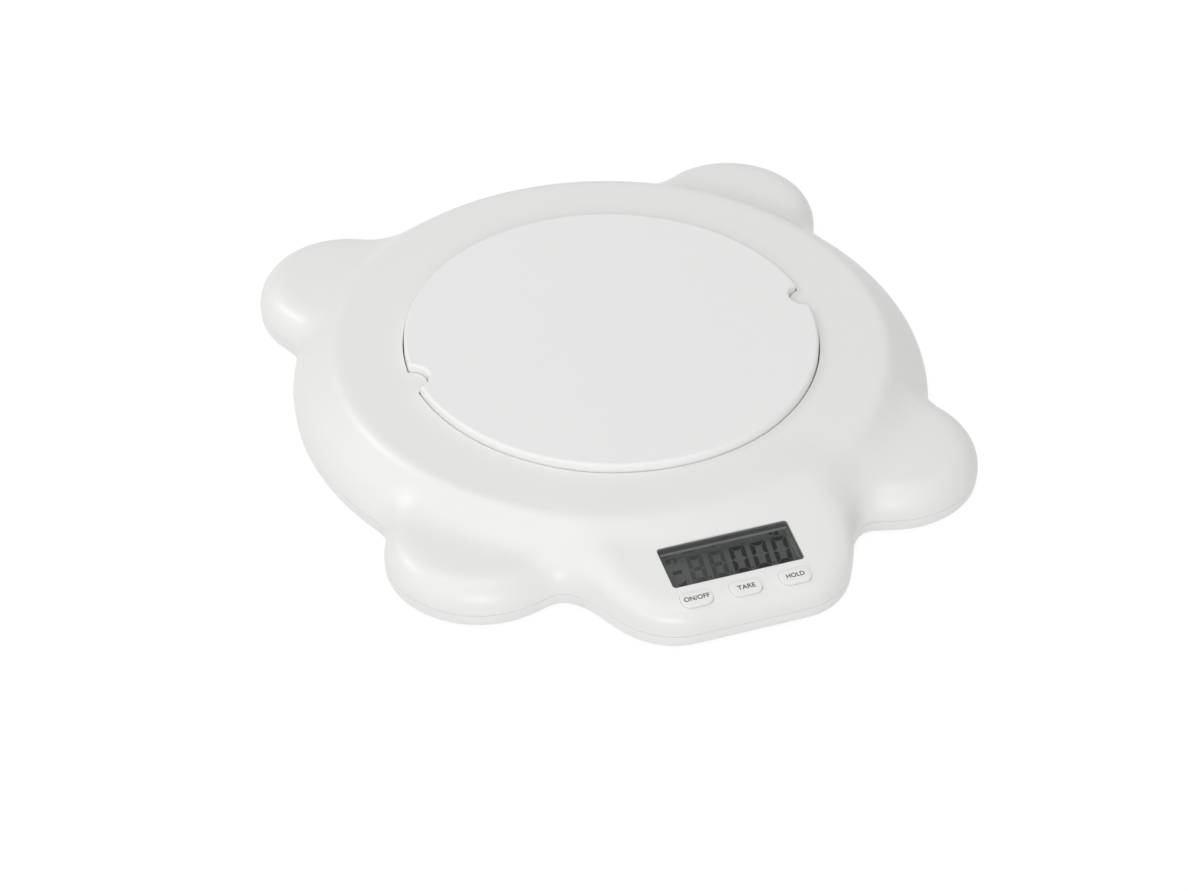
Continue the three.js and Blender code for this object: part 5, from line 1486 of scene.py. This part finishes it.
class SetStage(bpy.types.Operator):
    """Sets the pale floor, the soft lights and the camera"""

    bl_idname = "weighing_scale.set_stage"
    bl_label = "Set stage"

    floor_size = 16
    paper_lit, paper_shadow, paper_glow = 0.78, 0.26, 0.84
    # The room's light: the side on which it is strongest, its level on the far side and on that side
    room_from = (-0.64, -0.77, 0)
    room_low, room_high = 0.26, 0.78
    room_tint = (0.995, 1, 1, 1)
    # Name, place, diameter in metres and power in watts
    softboxes = (
        ("left_softbox", (-1.3, 1.08, 1.41), 0.7, 7.0),
        ("front_softbox", (-0.8, -2.4, 1.25), 1.5, 18.5),
        ("overhead_softbox", (-0.2, 0.3, 2.4), 1.6, 8.5),
    )
    aim_height = 0.02
    # The camera as it was solved from the photograph: angles in degrees, lens in millimetres
    camera_azimuth, camera_elevation, camera_roll = -20.388, 38.999, 0.791
    camera_place = (-0.52633, -1.37753, 1.17398)
    camera_lens, camera_sensor = 117.883, 36

    def execute(self, context):
        self.floor()
        self.world(context.scene)
        self.lights()
        self.camera(context.scene)
        return {"FINISHED"}

    def seen_share(self, tree):
        """1 for what the camera sees, also in a gloss or through glass, and 0 for light on surfaces."""
        path = add_node(tree, "ShaderNodeLightPath")
        seen = path.outputs["Is Camera Ray"]
        for ray in ("Is Glossy Ray", "Is Transmission Ray"):
            rays = {0: seen, 1: path.outputs[ray]}
            seen = add_node(tree, "ShaderNodeMath", {"operation": "MAXIMUM"}, rays).outputs[0]
        return seen

    def floor(self):
        bpy.ops.object.select_all(action="DESELECT")
        bpy.ops.mesh.primitive_plane_add(size=self.floor_size, location=(0, 0, 0))
        floor = added("studio_floor")
        # White background paper: plain, and its soft shadow keeps a little of its depth
        material = bpy.data.materials.new("white_background_paper")
        material.use_nodes = True
        tree = material.node_tree
        tree.nodes.clear()
        lit = add_node(tree, "ShaderNodeBsdfDiffuse", {"Color": (*[self.paper_lit] * 3, 1)})
        glow = add_node(tree, "ShaderNodeEmission", {"Color": (1, 1, 1, 1), "Strength": self.paper_glow})
        shadow = add_node(tree, "ShaderNodeBsdfDiffuse", {"Color": (*[self.paper_shadow] * 3, 1)})
        seen = add_node(tree, "ShaderNodeAddShader", links={0: glow.outputs[0], 1: shadow.outputs[0]})
        views = {0: self.seen_share(tree), 1: lit.outputs[0], 2: seen.outputs[0]}
        whole = add_node(tree, "ShaderNodeMixShader", links=views)
        add_node(tree, "ShaderNodeOutputMaterial", links={"Surface": whole.outputs[0]})
        dress(floor, material)

    def world(self, scene):
        world = bpy.data.worlds.new("white_studio")
        world.use_nodes = True
        tree = world.node_tree
        tree.nodes.clear()
        way = add_node(tree, "ShaderNodeTexCoord")
        facing = add_node(
            tree,
            "ShaderNodeVectorMath",
            {"operation": "DOT_PRODUCT", 1: self.room_from},
            {0: way.outputs["Generated"]},
        )
        level = add_node(
            tree,
            "ShaderNodeMapRange",
            {"From Min": -1.0, "From Max": 1.0, "To Min": self.room_low, "To Max": self.room_high},
            {"Value": facing.outputs["Value"]},
        )
        light = add_node(
            tree, "ShaderNodeBackground", {"Color": self.room_tint}, {"Strength": level.outputs[0]}
        )
        white = add_node(tree, "ShaderNodeBackground", {"Color": (1, 1, 1, 1), "Strength": 1.0})
        views = {0: self.seen_share(tree), 1: light.outputs[0], 2: white.outputs[0]}
        whole = add_node(tree, "ShaderNodeMixShader", links=views)
        add_node(tree, "ShaderNodeOutputWorld", links={"Surface": whole.outputs[0]})
        scene.world = world

    def lights(self):
        aim = Vector((0, AXIS_Y, self.aim_height))
        for name, place, size, power in self.softboxes:
            light = bpy.data.lights.new(name, "AREA")
            light.shape = "DISK"
            light.size = size
            light.energy = power
            lamp = bpy.data.objects.new(name, light)
            bpy.context.scene.collection.objects.link(lamp)
            lamp.location = place
            lamp.rotation_euler = (aim - Vector(place)).to_track_quat("-Z", "Y").to_euler()

    def camera(self, scene):
        """The photograph's view: from the front, 20 degrees to the left and 39 degrees up."""
        azimuth, elevation = math.radians(self.camera_azimuth), math.radians(self.camera_elevation)
        roll = math.radians(self.camera_roll)
        level = math.cos(elevation)
        back = Vector((math.sin(azimuth) * level, -math.cos(azimuth) * level, math.sin(elevation)))
        right = Vector((math.cos(azimuth), math.sin(azimuth), 0))
        up = back.cross(right)
        right, up = right * math.cos(roll) + up * math.sin(roll), up * math.cos(roll) - right * math.sin(roll)
        view = bpy.data.cameras.new("photo_view")
        view.sensor_width = self.camera_sensor
        view.sensor_fit = "HORIZONTAL"
        view.lens = self.camera_lens
        view.clip_start = 0.05
        view.clip_end = 50
        camera = bpy.data.objects.new("photo_view", view)
        scene.collection.objects.link(camera)
        turn = Matrix((right, up, back)).transposed().to_4x4()
        camera.matrix_world = Matrix.Translation(self.camera_place) @ turn
        scene.camera = camera
        scene.view_settings.view_transform = "Standard"


BUILD_ORDER = (
    "set_stage",
    "build_top_cover",
    "build_bottom_cover",
    "build_platform",
    "build_display",
    "build_keys",
    "build_feet",
    "build_battery_door",
    "build_spacer",
    "dress_inner_parts",
)


class ScalePanel(bpy.types.Panel):
    """Lists the pieces of the scale with their sizes and colours"""

    bl_idname = "VIEW3D_PT_weighing_scale"
    bl_label = "Baby weighing scale"
    bl_space_type = "VIEW_3D"
    bl_region_type = "UI"
    bl_category = "Scale"

    def draw(self, context):
        for group in GROUPS:
            box = self.layout.box()
            settings = getattr(context.scene, group)
            for name in settings.__annotations__:
                box.prop(settings, name)
        for name in BUILD_ORDER:
            self.layout.operator(f"weighing_scale.{name}")


GROUPS = {
    "scale_housing": HousingSizes,
    "scale_platform": PlatformSizes,
    "scale_keys": KeySizes,
    "scale_colours": ScaleColours,
}
CLASSES = (
    *GROUPS.values(),
    BuildTopCover,
    BuildBottomCover,
    BuildPlatform,
    BuildDisplay,
    BuildKeys,
    BuildFeet,
    BuildBatteryDoor,
    BuildSpacer,
    DressInnerParts,
    SetStage,
    ScalePanel,
)


def register():
    for made in CLASSES:
        bpy.utils.register_class(made)
    for name, group in GROUPS.items():
        setattr(bpy.types.Scene, name, bpy.props.PointerProperty(type=group))


def unregister():
    for name in GROUPS:
        delattr(bpy.types.Scene, name)
    for made in reversed(CLASSES):
        bpy.utils.unregister_class(made)


def main():
    register()
    for name in BUILD_ORDER:
        getattr(bpy.ops.weighing_scale, name)()


if __name__ == "__main__":
    main()
